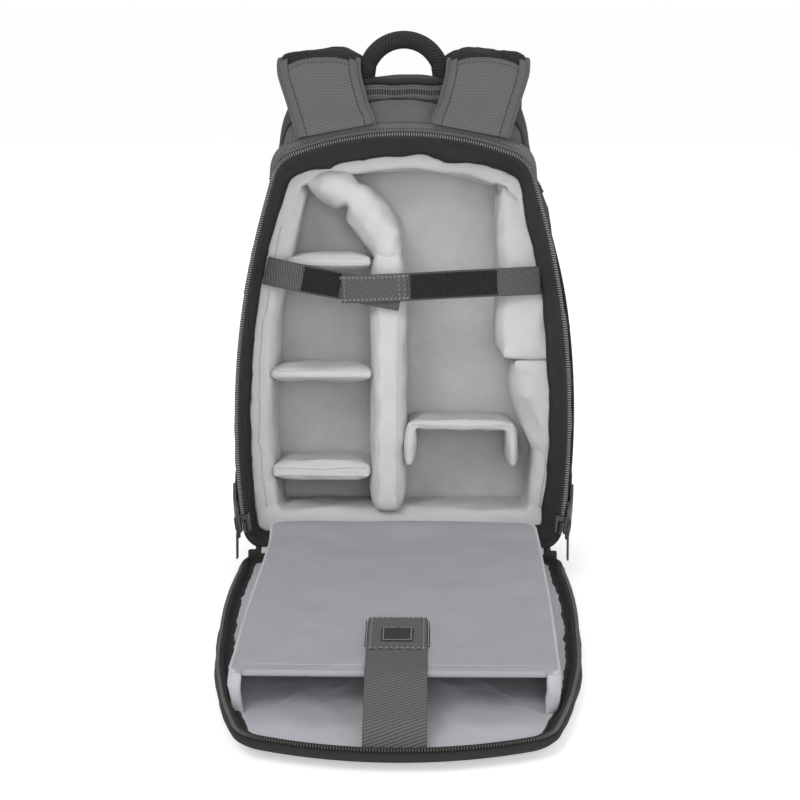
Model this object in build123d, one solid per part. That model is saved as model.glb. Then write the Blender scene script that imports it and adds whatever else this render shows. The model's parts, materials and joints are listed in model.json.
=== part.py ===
from build123d import *
from math import asin, cos, degrees, radians, sin, sqrt, tan
import os

# A rear-access camera backpack, standing on its base with the back panel unzipped and
# folded down in front of it.  Millimetres.  World frame: origin at the centre of the flat
# base, +X to the right of the opening, -Y towards the person facing it, +Z up.
#
# Every piece is drawn in one "bag frame" in which the back panel is closed:
#   x  across the bag,  d  depth into the bag from the zip plane,  s  height above the hinge.
# BODY places body pieces in the world, FLAP places back-panel pieces in the open position.

# ---------------------------------------------------------------- driving dimensions
LEAN = 8.0                 # the body leans back by this many degrees
FLAP_DROP = 3.4            # the open back panel falls towards its free end, degrees
OPEN_ANGLE = 90 + LEAN + FLAP_DROP
HINGE_Y, HINGE_Z = -100.0, 42.0

HALF_WIDTH = 149.5         # half-width of the zip line at its widest
WIDEST_S = 115.0           # height of the widest place above the hinge
SIDE_RADIUS = 700.0        # the sides of the zip line are one shallow arc
ARC_LOW_S, ARC_HIGH_S = 20.0, 300.0
ARCH_CORNER_S = 347.0      # where the sides would meet the arch, were it not rounded
ARCH_TOP = 386.0           # apex of the two lines that the arch is rounded from
CORNER_RADII = (20.0, SIDE_RADIUS, 32.0)
ARCH_RADIUS = 275.0

WALL = 4.0                 # padded fabric wall
TAPE = 1.0                 # zip tape
CHAIN_GAP = 1.2            # each zip chain starts this far from the zip plane
CHAIN_END = 4.2            # and ends here, where the wall starts
CHAIN_LOW_S = 14.0         # the body's chain ends here, just above the hinge
FLAP_CHAIN_LOW_S = 34.0    # the back panel's chain stops above the parked sliders

PARTITION_D = 148.0        # front wall of the main compartment, at the hinge's height
PARTITION_SLOPE = 0.081    # and how much it comes in per millimetre of height
INSERT_FRONT_D = 38.0      # the padded insert is recessed, to leave room for the sleeve
INSERT_OUT, INSERT_IN = 6.0, 24.0
INSERT_BACK = 8.5
FIT = 0.3

DIVIDER_X = (-26.0, -2.0)
PAD_X = 89.0               # inner face of the upper side pad
SHELF_THICK = 12.0
SHELF_S = {"shelf_left_upper": 256.0, "shelf_left_middle": 154.0, "shelf_left_lower": 65.0}
LEFT_STRAP_S = 248.5       # retention straps, at the walls they are sewn to
RIGHT_STRAP_S = 240.5
STRAP_WIDTH = 25.0
STRAP_THICK = 1.8
LEFT_STRAP_TILT = 11.0     # both run down towards the middle of the bag, degrees
RIGHT_STRAP_TILT = 2.8

YOKE_TOP = 426.0
POCKET_HALF_WIDTH = 122.0
POCKET_FRONT_D = 203.0     # outer face of the front pocket at the hinge's height
POCKET_SLOPE = -0.15       # and its slope with height
SLIDER_LENGTH = 16.0
SLIDER_S = 24.0
PULL_OUT = 3.9             # the pull turns about a line this far outside the zip line

FLAP_DEPTH = 16.0          # zip plane to the outer face of the back panel
SLEEVE_HALF_WIDTH = 115.0
SLEEVE_F = (10.0, 309.0)
SLEEVE_TOP = 25.4
LAPTOP_STRAP_HALF = 22.0

BODY = Pos(0, HINGE_Y, HINGE_Z) * Rot(-LEAN, 0, 0)
FLAP = Pos(0, HINGE_Y, HINGE_Z) * Rot(OPEN_ANGLE - LEAN, 0, 0)
MIRROR = Plane.YZ


# ---------------------------------------------------------------- geometry helpers
def block(x, d, s):
    """A box between two limits on each axis of the bag frame."""
    size = [abs(b - a) for a, b in (x, d, s)]
    middle = [(a + b) / 2 for a, b in (x, d, s)]
    return Pos(*middle) * Box(*size)


def slab(face, d0, d1):
    """A face drawn in (x, s), made solid from depth d0 to d1."""
    return extrude(Plane.XZ.offset(-d0) * face, amount=d0 - d1)


def prism(points, x0, x1, radius=None):
    """A profile drawn in (d, s), made solid from x0 to x1."""
    if radius is None:
        line = Polyline(*points, close=True)
    else:
        line = FilletPolyline(*points, radius=radius, close=True)
    return extrude(Plane.YZ.offset(x0) * make_face(line), amount=x1 - x0)


def ribbon(points, radii, thickness, x0, x1):
    """A band of the given thickness along a path in (d, s), from x0 to x1."""
    path = FilletPolyline(*points, radius=radii)
    return extrude(Plane.YZ.offset(x0) * trace(path, line_width=thickness), amount=x1 - x0)


def side_x(s):
    """Half-width of the zip line's side arc at height s."""
    return HALF_WIDTH - SIDE_RADIUS + sqrt(SIDE_RADIUS**2 - (s - WIDEST_S) ** 2)


def side_slope(s):
    return -(s - WIDEST_S) / sqrt(SIDE_RADIUS**2 - (s - WIDEST_S) ** 2)


def opening(inset=0.0):
    """The arched outline of the zip line, moved inwards by inset."""
    low_x, low_k = side_x(ARC_LOW_S), side_slope(ARC_LOW_S)
    high_x, high_k = side_x(ARC_HIGH_S), side_slope(ARC_HIGH_S)
    meet = (high_x - low_x + low_k * ARC_LOW_S - high_k * ARC_HIGH_S) / (low_k - high_k)
    right = [
        (low_x - low_k * ARC_LOW_S, 0),
        (low_x + low_k * (meet - ARC_LOW_S), meet),
        (high_x + high_k * (ARCH_CORNER_S - ARC_HIGH_S), ARCH_CORNER_S),
    ]
    left = [(-x, s) for x, s in reversed(right)]
    radii = list(CORNER_RADII) + [ARCH_RADIUS] + list(reversed(CORNER_RADII))
    line = FilletPolyline(*right, (0, ARCH_TOP), *left, radius=radii, close=True)
    face = make_face(line)
    return offset(face, amount=-inset) if inset else face


def band(inset0, inset1, d0, d1):
    """A closed band that follows the zip line, between two insets and two depths."""
    return slab(opening(inset0) - opening(inset1), d0, d1)


def partition_d(s):
    return PARTITION_D - PARTITION_SLOPE * s


def before_partition(gap=0.0):
    """The space on the wearer's side of the partition."""
    low, high = -20, 460
    points = [(0, low), (partition_d(low) - gap, low), (partition_d(high) - gap, high), (0, high)]
    return prism(points, -200, 200)


def mirrored(shape):
    return mirror(shape, about=MIRROR)


def group(*shapes):
    """Separate solids that share one node."""
    return Compound(children=[solid for shape in shapes for solid in shape.solids()])


# ---------------------------------------------------------------- body shell
def body_walls():
    """Side, arch and floor panels round the main compartment."""
    tube = band(0, WALL, CHAIN_END, PARTITION_D + 5) & before_partition()
    low, high = 26.0, 300.0
    return {
        "floor_panel": tube & block((-200, 200), (-5, 200), (-5, low)),
        "side_panel_left": tube & block((-200, 0), (-5, 200), (low, high)),
        "side_panel_right": tube & block((0, 200), (-5, 200), (low, high)),
        "arch_panel": tube & block((-200, 200), (-5, 200), (high, 400)),
    }


def front_partition():
    """The foam-backed wall between the main compartment and the front pocket."""
    whole = slab(opening(), 100, PARTITION_D + 8) & before_partition(-WALL)
    return whole - before_partition()


def base_boot():
    """Hollow padded boot between the floor panel and the ground, drawn in world axes."""
    rear, front = -95.0, 101.0
    rise = tan(radians(LEAN))

    def boot(inset):
        top_rear = HINGE_Z - rise * (rear - HINGE_Y)
        top_front = HINGE_Z - rise * (front - HINGE_Y)
        points = [
            (rear + inset, inset),
            (front - inset, inset),
            (front - inset, top_front - inset),
            (rear + inset, top_rear - inset),
        ]
        side = prism(points, -140, 140)
        plan = Rectangle(268 - 2 * inset, front - rear - 2 * inset)
        plan = fillet(plan.vertices(), 26 - inset)
        return side & extrude(Pos(0, (rear + front) / 2, -5) * plan, amount=80)

    return boot(0) - boot(WALL)


def base_board():
    """Stiff board under the insert."""
    return block((-118, 118), (INSERT_FRONT_D + 1, 136), (WALL, WALL + 2))


def yoke_outer(inset=0.0):
    """The domed top compartment with the panel that the shoulder straps are sewn to."""
    points = [(-112, 316), (112, 316), (107, 408), (0, YOKE_TOP), (-107, 408)]
    front_view = make_face(FilletPolyline(*points, radius=[12, 12, 42, 300, 42], close=True))
    if inset:
        front_view = offset(front_view, amount=-inset)
    profile = [
        (6 + inset, 300),
        (152 - inset, 300),
        (136 - inset, YOKE_TOP - 2 - inset),
        (6 + inset, YOKE_TOP - 2 - inset),
    ]
    return slab(front_view, 0, 170) & prism(profile, -200, 200, [1, 1, 44 - inset, 20 - inset])


def yoke_shell():
    """Dome with the top compartment inside, and two stubs for the carry handle."""
    compartment = slab(opening(), -5, 200) & before_partition(-WALL)
    pocket = slab(opening(-WALL), -5, 200) & before_partition(-2 * WALL)
    shell = (yoke_outer() - compartment) - (yoke_outer(WALL) - pocket)
    stub = extrude(Plane.XY.offset(410) * Pos(HANDLE_X, HANDLE_D) * Circle(8), amount=10.6)
    stub = stub - yoke_outer(1)
    return shell + stub + mirrored(stub)


def pocket_outer(inset=0.0):
    half = POCKET_HALF_WIDTH - inset
    view = [(-half, 4 + inset), (half, 4 + inset), (half - 10, 334 - inset), (-half + 10, 334 - inset)]
    front_view = make_face(FilletPolyline(*view, radius=30 - inset, close=True))
    top = 334 - inset
    profile = [
        (partition_d(0) + WALL + inset, 0),
        (POCKET_FRONT_D - inset, 0),
        (POCKET_FRONT_D + POCKET_SLOPE * 334 - inset, top),
        (partition_d(334) + WALL + inset, top),
    ]
    side = prism(profile, -200, 200, [1, 18 - inset, 18 - inset, 1])
    return slab(front_view, 80, 220) & side


def front_pocket():
    """Zipped organiser pocket on the side away from the wearer."""
    return (pocket_outer() - pocket_outer(3)) - yoke_outer()


def side_pocket():
    """Open-topped tripod pocket on the right-hand side."""
    d0, d1, low, high = 46.0, 128.0, 12.0, 330.0
    out = [(140, low), (152.5, 100), (152.5, 160), (130, high)]
    back = [(118, high), (118, low)]
    solid = slab(make_face(Polyline(*out, *back, close=True)), d0, d1)
    inner_out = [(138, low + 2), (150.5, 100), (150.5, 160), (127.9, high + 1)]
    inner_back = [(100, high + 1), (100, low + 2)]
    inner = slab(make_face(Polyline(*inner_out, *inner_back, close=True)), d0 + 2, d1 - 2)
    return (solid - inner) - slab(opening(), 0, 200) - yoke_outer()


# ---------------------------------------------------------------- main zip
def body_zip_chain():
    above = block((-200, 200), (-20, 20), (CHAIN_LOW_S, 400))
    return band(0.5, WALL, CHAIN_GAP, CHAIN_END) & above


def body_zip_tape():
    above = block((-200, 200), (-20, 40), (CHAIN_LOW_S, 400))
    return band(WALL, WALL + TAPE, CHAIN_GAP + 1, 16) & above


def main_slider():
    """Right-hand slider at its parked place: two plates joined through the chain gap."""
    x, lean = side_x(SLIDER_S), degrees(asin((SLIDER_S - WIDEST_S) / SIDE_RADIUS))
    half = SLIDER_LENGTH / 2
    outer = block((0.4, 2.4), (-5.5, 5.5), (-half, half))
    inner = block((-7.4, -5.4), (-5.5, 5.5), (-half, half))
    post = block((-6, 1), (-0.6, 0.6), (half - 6, half - 1))
    bridge = block((5.1, 6.3), (-1.4, 1.4), (-5.5, 5.5))
    for low in (-5.5, 3.0):
        bridge += block((2.4, 5.1), (-1.4, 1.4), (low, low + 2.5))
    return Pos(x, 0, SLIDER_S) * Rot(0, -lean, 0) * (outer + inner + post + bridge)


def main_pull():
    """Right-hand pull: a crossbar under the slider's bridge, two arms and a tab."""
    bar = Rot(90, 0, 0) * Cylinder(0.7, 6.4)
    pull = bar + block((-0.7, 0.7), (-4.5, 4.5), (-32, -9))
    for side in (-2.55, 2.55):
        pull += block((-0.7, 0.7), (side - 0.65, side + 0.65), (-9, 0.7))
    return Pos(side_x(SLIDER_S) + PULL_OUT, 0, SLIDER_S) * pull


# ---------------------------------------------------------------- padded insert
def insert_walls():
    ring = band(INSERT_OUT, INSERT_IN, INSERT_FRONT_D, PARTITION_D) & before_partition(INSERT_BACK)
    high = 296.0
    walls = {
        "insert_wall_bottom": ring & block((-200, 200), (0, 200), (0, INSERT_IN)),
        "insert_wall_left": ring & block((-200, 0), (0, 200), (INSERT_IN, high)),
        "insert_wall_right": ring & block((0, 200), (0, 200), (INSERT_IN, high)),
        "insert_wall_top": ring & block((-200, 200), (0, 200), (high, 400)),
    }
    back = slab(opening(INSERT_OUT), 60, PARTITION_D) & before_partition(0.5)
    walls["insert_back"] = back - before_partition(INSERT_BACK)
    return walls


def inside_insert(gap):
    """The clear space inside the insert's walls, shrunk by gap."""
    space = slab(opening(INSERT_IN + gap), INSERT_FRONT_D, PARTITION_D)
    return space & before_partition(INSERT_BACK + gap)


def side_pads():
    """Two padded panels, one above the other, against the insert's right-hand wall."""
    space = slab(opening(INSERT_IN + FIT), INSERT_FRONT_D + 2, PARTITION_D)
    space = space & before_partition(INSERT_BACK + FIT)
    upper = [(PAD_X, 168), (200, 168), (200, 400), (PAD_X, 400)]
    lower = [(PAD_X + 8, 166), (200, 166), (200, INSERT_IN + 20), (124, INSERT_IN + 20)]
    return {
        "side_pad_upper": space & slab(make_face(Polyline(*upper, close=True)), 0, 200),
        "side_pad_lower": space & slab(make_face(Polyline(*lower, close=True)), 0, 200),
    }


def edge_facing():
    """Dark fabric facing that covers the gap between the zip and the insert."""
    return band(WALL + TAPE, 15, 35.6, 37.6)


def center_divider():
    x0, x1 = DIVIDER_X
    return block((x0, x1), (INSERT_FRONT_D + 2, 200), (INSERT_IN + FIT, 257)) & inside_insert(FIT)


def angled_divider():
    """Upper end of the centre divider, folded over to the left."""
    path = FilletPolyline((-14, 258), (-17, 278), (-44, 316), (-100, 344), radius=[20, 20])
    bar = slab(trace(path, line_width=20), INSERT_FRONT_D + 2, 200)
    return bar & inside_insert(FIT) & block((-200, 200), (0, 200), (257 + FIT, 400))


def left_shelf(middle_s):
    """A padded shelf across the left-hand column; the lower ones slide straight out."""
    half = SHELF_THICK / 2
    shelf = block((-200, DIVIDER_X[0] - 0.6), (INSERT_FRONT_D + 4, 200), (middle_s - half, middle_s + half))
    return shelf & inside_insert(0.6)


def right_shelf():
    """Folded U-shaped shelf in the right-hand column."""
    x0, x1, low, top, wall = 3.0, 103.0, 68.0, 111.0, 7.0
    front, back = INSERT_FRONT_D + 4, partition_d(top) - INSERT_BACK - 1
    shelf = block((x0, x1), (front, back), (top - wall, top))
    shelf += block((x0, x0 + wall), (front, back), (low, top - wall))
    return shelf + block((x1 - wall, x1), (front, back), (low, top - wall))


# ---------------------------------------------------------------- retention straps
def retention_strap_left():
    """Lower strap, with hook tape on the part that shows beside the strap above it."""
    webbing = block((0, 124), (33.5, 33.5 + STRAP_THICK), (-STRAP_WIDTH / 2, STRAP_WIDTH / 2))
    hook_tape = block((34, 66), (32.9, 33.5), (-11, 11))
    strap = Pos(-124, 0, LEFT_STRAP_S) * Rot(0, LEFT_STRAP_TILT, 0) * (webbing + hook_tape)
    return strap & block((-124, 124), (0, 60), (0, 400))


def retention_strap_right():
    """Upper strap, with loop tape on its outer face."""
    webbing = block((-179, 0), (31.3, 31.3 + STRAP_THICK), (-STRAP_WIDTH / 2, STRAP_WIDTH / 2))
    loop_tape = block((-120, -39), (30.5, 31.3), (-11, 11))
    strap = Pos(123, 0, RIGHT_STRAP_S) * Rot(0, -RIGHT_STRAP_TILT, 0) * (webbing + loop_tape)
    return strap & block((-123, 123), (0, 60), (0, 400))


# ---------------------------------------------------------------- carry handle, yoke zip
HANDLE_X, HANDLE_D, HANDLE_S, HANDLE_R = 32.0, 25.0, 429.0, 7.5
HANDLE_RISE = 23.0


def carry_handle():
    arch = ThreePointArc((-HANDLE_X, 0), (0, HANDLE_RISE), (HANDLE_X, 0))
    wire = Plane.XZ.offset(-HANDLE_D) * Pos(0, HANDLE_S) * arch
    start = Plane(wire @ 0, z_dir=wire % 0)
    tube = sweep(start * Circle(HANDLE_R), path=wire)
    ends = [Pos(x, HANDLE_D, HANDLE_S) * Sphere(HANDLE_R) for x in (-HANDLE_X, HANDLE_X)]
    return tube + ends[0] + ends[1]


TOP_ZIP_S, TOP_ZIP_HALF = 400.0, 82.0
TOP_SLIDER_X = 70.0


def top_zip():
    return block((-TOP_ZIP_HALF, TOP_ZIP_HALF), (4.8, 6), (TOP_ZIP_S - 3, TOP_ZIP_S + 3))


def top_slider():
    """Slider and flat pull of the top compartment, parked under the right-hand strap."""
    slider = block((-6, 6), (2.6, 4.5), (-4, 4)) + block((-3, 3), (1.2, 2.6), (-22, 1))
    return Pos(TOP_SLIDER_X, 0, TOP_ZIP_S) * slider


# ---------------------------------------------------------------- shoulder straps
STRAP_PAD = 14.0
STRAP_HINGE_D, STRAP_HINGE_S = 128.0, 439.5


def strap_upper():
    """Right-hand strap where it is sewn to the yoke and lies over the dome."""
    path = [(-7.5, 366), (-7.5, 432.5), (STRAP_HINGE_D - 0.5, 432.5)]
    pad = ribbon(path, [22], STRAP_PAD, 20, 130)
    lean = [(27, 375), (91, 365), (109, 420), (109, 450), (41, 450), (41, 424)]
    return pad & slab(make_face(Polyline(*lean, close=True)), -20, 200)


def strap_lower():
    """Right-hand strap where it hangs down the side away from the wearer."""
    top = (STRAP_HINGE_D + 0.5, 432.5)
    path = [top, (163, 431), (167.5, 300), (190, 150)]
    pad = ribbon(path, [32, 150], STRAP_PAD, 20, 130)
    taper = [(41, 450), (109, 450), (108, 380), (96, 190), (82, 140), (58, 140), (46, 190), (41, 380)]
    return pad & slab(make_face(Polyline(*taper, close=True)), 100, 240)


LOCK_D, LOCK_S, LOCK_X = 192.5, 134.0, 70.0
LOCK_TILT = 8.6
WEB_START, WEB_EDGE = Vector(90, 192.5, 103), Vector(127, 192.5, 95)
WEB_CORNER, WEB_END = Vector(155, 148, 84), Vector(148.2, 30, 30)
ANCHOR_END = Vector(147.4, 16, 23.6)


def ladder_lock():
    """Plastic ladder lock at the strap's lower end: a frame with two slots."""
    frame = block((-17, 17), (-2.5, 2.5), (-15, 15))
    for low, high in ((-11.5, -4.5), (1.5, 8.5)):
        frame -= block((-13.5, 13.5), (-5, 5), (low, high))
    return Pos(LOCK_X, LOCK_D, LOCK_S) * Rot(LOCK_TILT, 0, 0) * frame


def flat_run(start, end, width, thick, extra=0.0):
    """A straight length of webbing between two points, standing on edge."""
    run = end - start
    middle = (start + end) / 2
    plane = Plane(origin=middle, x_dir=run.normalized(), z_dir=run.cross(Vector(0, 0, 1)))
    return plane * Box(run.length + extra, width, thick)


def lower_webbing():
    """Adjusting webbing from below the ladder lock round to the bottom corner anchor."""
    front = flat_run(WEB_START, WEB_EDGE, STRAP_WIDTH, 1.5, 0.6)
    corner = flat_run(WEB_EDGE, WEB_CORNER, STRAP_WIDTH, 1.5, 0.6)
    return front + corner + flat_run(WEB_CORNER, WEB_END, STRAP_WIDTH, 1.5)


def webbing_anchor():
    """Tab that ties the webbing into the bottom corner seam."""
    return flat_run(WEB_END, ANCHOR_END, 30, 2.4)


# ---------------------------------------------------------------- front pocket zip
POCKET_ZIP_S = 262.0
POCKET_SLIDER_X = -32.0


def on_pocket(shape, x, out):
    """Place a piece on the sloping face of the front pocket, at the zip's height."""
    d = POCKET_FRONT_D + POCKET_SLOPE * POCKET_ZIP_S
    return Pos(x, d, POCKET_ZIP_S) * Rot(-degrees(POCKET_SLOPE), 0, 0) * Pos(0, out, 0) * shape


def pocket_zip():
    return on_pocket(Box(80, 1.2, 6), 0, 0.65)


def pocket_slider():
    return on_pocket(Box(12, 2.0, 8), POCKET_SLIDER_X, 2.7)


def pocket_pull():
    return on_pocket(block((-3, 3), (-0.6, 0.6), (-24, 0.6)), POCKET_SLIDER_X, 4.6)


# ---------------------------------------------------------------- back panel (flap)
def flap_pieces():
    above = block((-200, 200), (-20, 20), (FLAP_CHAIN_LOW_S, 400))
    bottom = -FLAP_DEPTH + 3
    return {
        "flap_zip_chain": band(0.5, WALL, -CHAIN_END, -CHAIN_GAP) & above,
        "flap_zip_tape": band(WALL, WALL + TAPE, bottom, -CHAIN_GAP - 1) & above,
        "flap_rim": band(0, WALL, bottom, -CHAIN_END),
        "flap_outer_panel": slab(opening(), -FLAP_DEPTH, bottom),
        "flap_stiffener": slab(opening(WALL + TAPE), bottom, bottom + 3),
        "flap_lining": slab(opening(WALL + TAPE), bottom + 3, bottom + 4.5),
    }


def back_pads():
    """Mesh-covered pads that lie against the wearer's back: lumbar, middle and upper."""
    rows = [(24, 116, 17.0), (126, 232, 10.5), (242, 338, 4.5)]
    pads = []
    for low, high, thick in rows:
        shape = Rectangle(88, high - low)
        shape = fillet(shape.vertices(), 16)
        pad = slab(Pos(52, (low + high) / 2) * shape, -FLAP_DEPTH - thick, -FLAP_DEPTH)
        pads += [pad, mirrored(pad)]
    return group(*pads)


def sleeve_gusset():
    """Side and end walls of the laptop sleeve, open at the far end."""
    low, high = -8.5, SLEEVE_TOP - 4
    outer = block((-SLEEVE_HALF_WIDTH, SLEEVE_HALF_WIDTH), (low, high), SLEEVE_F)
    inner_half = SLEEVE_HALF_WIDTH - 3
    return outer - block((-inner_half, inner_half), (low - 1, high + 1), (SLEEVE_F[0] + 3, SLEEVE_F[1] + 5))


def sleeve_panel():
    half = SLEEVE_HALF_WIDTH
    return block((-half, half), (SLEEVE_TOP - 4, SLEEVE_TOP), SLEEVE_F)


def sleeve_hook_patch():
    return block((-24, 24), (SLEEVE_TOP, SLEEVE_TOP + 0.8), (214, 262))


def laptop_strap():
    """Webbing from the far rim over the sleeve's mouth to its hook-and-loop landing."""
    high = SLEEVE_TOP + 2.0
    path = [(-5.5, 361), (high, 312), (high, 216)]
    return ribbon(path, [14], STRAP_THICK, -LAPTOP_STRAP_HALF, LAPTOP_STRAP_HALF)


def strap_label():
    top = SLEEVE_TOP + 2.0 + STRAP_THICK / 2
    return block((-17, 17), (top, top + 0.9), (232, 256))


def hinge_web():
    """Fabric that joins the back panel to the floor panel along the hinge."""
    return block((-116, 116), (-0.8, CHAIN_END), (-0.8, 0.8))


# ---------------------------------------------------------------- export
def body_nodes():
    nodes = body_walls()
    nodes["front_partition"] = front_partition()
    nodes["base_board"] = base_board()
    nodes["yoke_shell"] = yoke_shell()
    nodes["front_pocket"] = front_pocket()
    nodes["side_pocket"] = side_pocket()
    nodes["body_zip_chain"] = body_zip_chain()
    nodes["body_zip_tape"] = body_zip_tape()
    nodes["main_slider_right"] = main_slider()
    nodes["main_slider_left"] = mirrored(main_slider())
    nodes["main_pull_right"] = main_pull()
    nodes["main_pull_left"] = mirrored(main_pull())
    nodes.update(insert_walls())
    nodes.update(side_pads())
    nodes["edge_facing"] = edge_facing()
    nodes["center_divider"] = center_divider()
    nodes["angled_divider"] = angled_divider()
    for name, middle_s in SHELF_S.items():
        nodes[name] = left_shelf(middle_s)
    nodes["shelf_right"] = right_shelf()
    nodes["retention_strap_left"] = retention_strap_left()
    nodes["retention_strap_right"] = retention_strap_right()
    nodes["carry_handle"] = carry_handle()
    nodes["top_zip"] = top_zip()
    nodes["top_zip_slider"] = top_slider()
    for side, place in (("right", lambda shape: shape), ("left", mirrored)):
        nodes["strap_upper_" + side] = place(strap_upper())
        nodes["strap_lower_" + side] = place(strap_lower())
        nodes["ladder_lock_" + side] = place(ladder_lock())
        nodes["lower_webbing_" + side] = place(lower_webbing())
    nodes["webbing_anchors"] = group(webbing_anchor(), mirrored(webbing_anchor()))
    nodes["pocket_zip"] = pocket_zip()
    nodes["pocket_zip_slider"] = pocket_slider()
    nodes["pocket_zip_pull"] = pocket_pull()
    nodes["hinge_web"] = hinge_web()
    return nodes


def flap_nodes():
    nodes = flap_pieces()
    nodes["back_pads"] = back_pads()
    nodes["sleeve_gusset"] = sleeve_gusset()
    nodes["sleeve_panel"] = sleeve_panel()
    nodes["sleeve_hook_patch"] = sleeve_hook_patch()
    nodes["laptop_strap"] = laptop_strap()
    nodes["strap_label"] = strap_label()
    return nodes


def main():
    os.makedirs("parts", exist_ok=True)
    shapes = {"base_boot": base_boot()}
    shapes.update({name: BODY * shape for name, shape in body_nodes().items()})
    shapes.update({name: FLAP * shape for name, shape in flap_nodes().items()})
    for name, shape in shapes.items():
        export_step(shape, "parts/" + name + ".step")
    print(len(shapes), "parts written")


main()
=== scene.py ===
import json
import math

import bpy
import numpy as np
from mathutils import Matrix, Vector


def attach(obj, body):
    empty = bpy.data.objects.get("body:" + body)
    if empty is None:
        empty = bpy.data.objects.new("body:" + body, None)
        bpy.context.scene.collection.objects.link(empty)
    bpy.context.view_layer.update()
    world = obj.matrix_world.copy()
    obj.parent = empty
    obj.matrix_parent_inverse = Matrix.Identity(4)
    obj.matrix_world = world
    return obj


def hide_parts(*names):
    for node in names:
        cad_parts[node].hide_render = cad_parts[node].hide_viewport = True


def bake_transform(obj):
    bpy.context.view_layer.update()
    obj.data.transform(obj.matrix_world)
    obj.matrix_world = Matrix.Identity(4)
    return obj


# Looks of a rear-access camera backpack, open, around its CAD frame.
# Points are worked out in the CAD's own "bag frame", in millimetres: x across, d depth into
# the bag from the zip plane, s height above the hinge.  in_bag() and in_flap() turn them into
# world metres.  On the flap d is measured from the same zip plane, so it points upwards.

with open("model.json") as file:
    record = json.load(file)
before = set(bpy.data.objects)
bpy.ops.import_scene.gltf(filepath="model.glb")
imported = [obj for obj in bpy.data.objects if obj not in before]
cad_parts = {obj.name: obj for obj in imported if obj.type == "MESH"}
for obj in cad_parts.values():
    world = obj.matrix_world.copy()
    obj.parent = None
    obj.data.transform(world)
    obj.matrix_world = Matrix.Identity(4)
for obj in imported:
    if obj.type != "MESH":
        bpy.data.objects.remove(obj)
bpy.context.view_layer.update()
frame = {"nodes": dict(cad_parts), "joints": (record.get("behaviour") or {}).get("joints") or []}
JOINTS = {joint["name"]: joint for joint in frame["joints"]}
HINGE = np.array(JOINTS["back_panel_hinge"]["pos_m"])
UP = JOINTS["retention_right_peel"]["axis"]
LEAN = math.atan2(UP[1], UP[2])
OPEN_TURN = math.radians(-JOINTS["back_panel_hinge"]["range_deg"][0])
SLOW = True

# ------------------------------------------------------------------ sizes, as in the CAD
HALF_WIDTH, WIDEST_S, SIDE_RADIUS = 149.5, 115.0, 700.0
PARTITION_D, PARTITION_SLOPE = 148.0, 0.081


# ------------------------------------------------------------------ frames and outlines
def place(points, turn):
    """Bag-frame millimetres to world metres, turned about the hinge line."""
    p = np.asarray(points, float)
    c, n = math.cos(turn), math.sin(turn)
    x, d, s = p[..., 0], p[..., 1], p[..., 2]
    return np.stack([x, c * d - n * s, n * d + c * s], -1) / 1000 + HINGE


def in_bag(points):
    """World place of points on the standing bag."""
    return place(points, -LEAN)


def in_flap(points):
    """World place of points on the opened back panel."""
    return place(points, OPEN_TURN - LEAN)


def bag_way(v):
    """Unit world direction of a direction in the bag frame."""
    return unit(in_bag(v) - HINGE)


def flap_way(v):
    return unit(in_flap(v) - HINGE)


def xds(x, d, s):
    """Bag-frame points from separate rows of x, d and s, any of which may be one number."""
    return np.stack(np.broadcast_arrays(x, d, s), -1).astype(float)


def from_bag(world):
    """World metres to bag-frame millimetres."""
    p = (np.asarray(world) - HINGE) * 1000
    c, n = math.cos(LEAN), math.sin(LEAN)
    return np.stack([p[..., 0], c * p[..., 1] - n * p[..., 2], n * p[..., 1] + c * p[..., 2]], -1)


def side_x(s):
    return HALF_WIDTH - SIDE_RADIUS + np.sqrt(SIDE_RADIUS**2 - (np.asarray(s) - WIDEST_S) ** 2)


def side_slope(s):
    return -(s - WIDEST_S) / math.sqrt(SIDE_RADIUS**2 - (s - WIDEST_S) ** 2)


def partition_d(s):
    return PARTITION_D - PARTITION_SLOPE * np.asarray(s)


def unit(v):
    v = np.asarray(v, float)
    return v / np.maximum(np.linalg.norm(v, axis=-1, keepdims=True), 1e-12)


def smooth_step(t):
    t = np.clip(t, 0, 1)
    return t * t * (3 - 2 * t)


def resample(points, n, closed=False):
    """n points evenly spaced along a polyline."""
    p = np.asarray(points, float)
    if closed:
        p = np.vstack([p, p[:1]])
    run = np.concatenate([[0], np.cumsum(np.linalg.norm(np.diff(p, axis=0), axis=1))])
    at = np.linspace(0, run[-1], n + 1)[:-1] if closed else np.linspace(0, run[-1], n)
    return np.stack([np.interp(at, run, p[:, i]) for i in range(p.shape[1])], -1)


def rounded(points, radii, closed=True, steps=14):
    """A polyline with rounded corners."""
    p, out = np.array(points, float), []
    count = len(p)
    for i in range(count):
        if not closed and i in (0, count - 1):
            out.append(p[i])
            continue
        a, b, c = p[i - 1], p[i], p[(i + 1) % count]
        u, v = unit(a - b), unit(c - b)
        half = math.acos(np.clip(u @ v, -1, 1)) / 2
        cut = radii[i] / math.tan(half)
        centre = b + unit(u + v) * radii[i] / math.sin(half)
        start, end = b + u * cut - centre, b + v * cut - centre
        angle = math.acos(np.clip(unit(start) @ unit(end), -1, 1))
        for t in np.linspace(0, 1, steps):
            w0, w1 = math.sin((1 - t) * angle), math.sin(t * angle)
            out.append(centre + (w0 * start + w1 * end) / math.sin(angle))
    return np.array(out)


def zip_outline():
    low_x, low_k, high_x, high_k = side_x(20.0), side_slope(20.0), side_x(300.0), side_slope(300.0)
    meet = (high_x - low_x + low_k * 20 - high_k * 300) / (low_k - high_k)
    right = [(low_x - low_k * 20, 0), (low_x + low_k * (meet - 20), meet), (high_x + high_k * 47, 347)]
    left = [(-x, s) for x, s in reversed(right)]
    line = rounded([(0, 0), *right, (0, 386), *left], [0.01, 20, 700, 32, 275, 32, 700, 20], steps=40)
    return resample(line, 480, closed=True)


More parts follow.
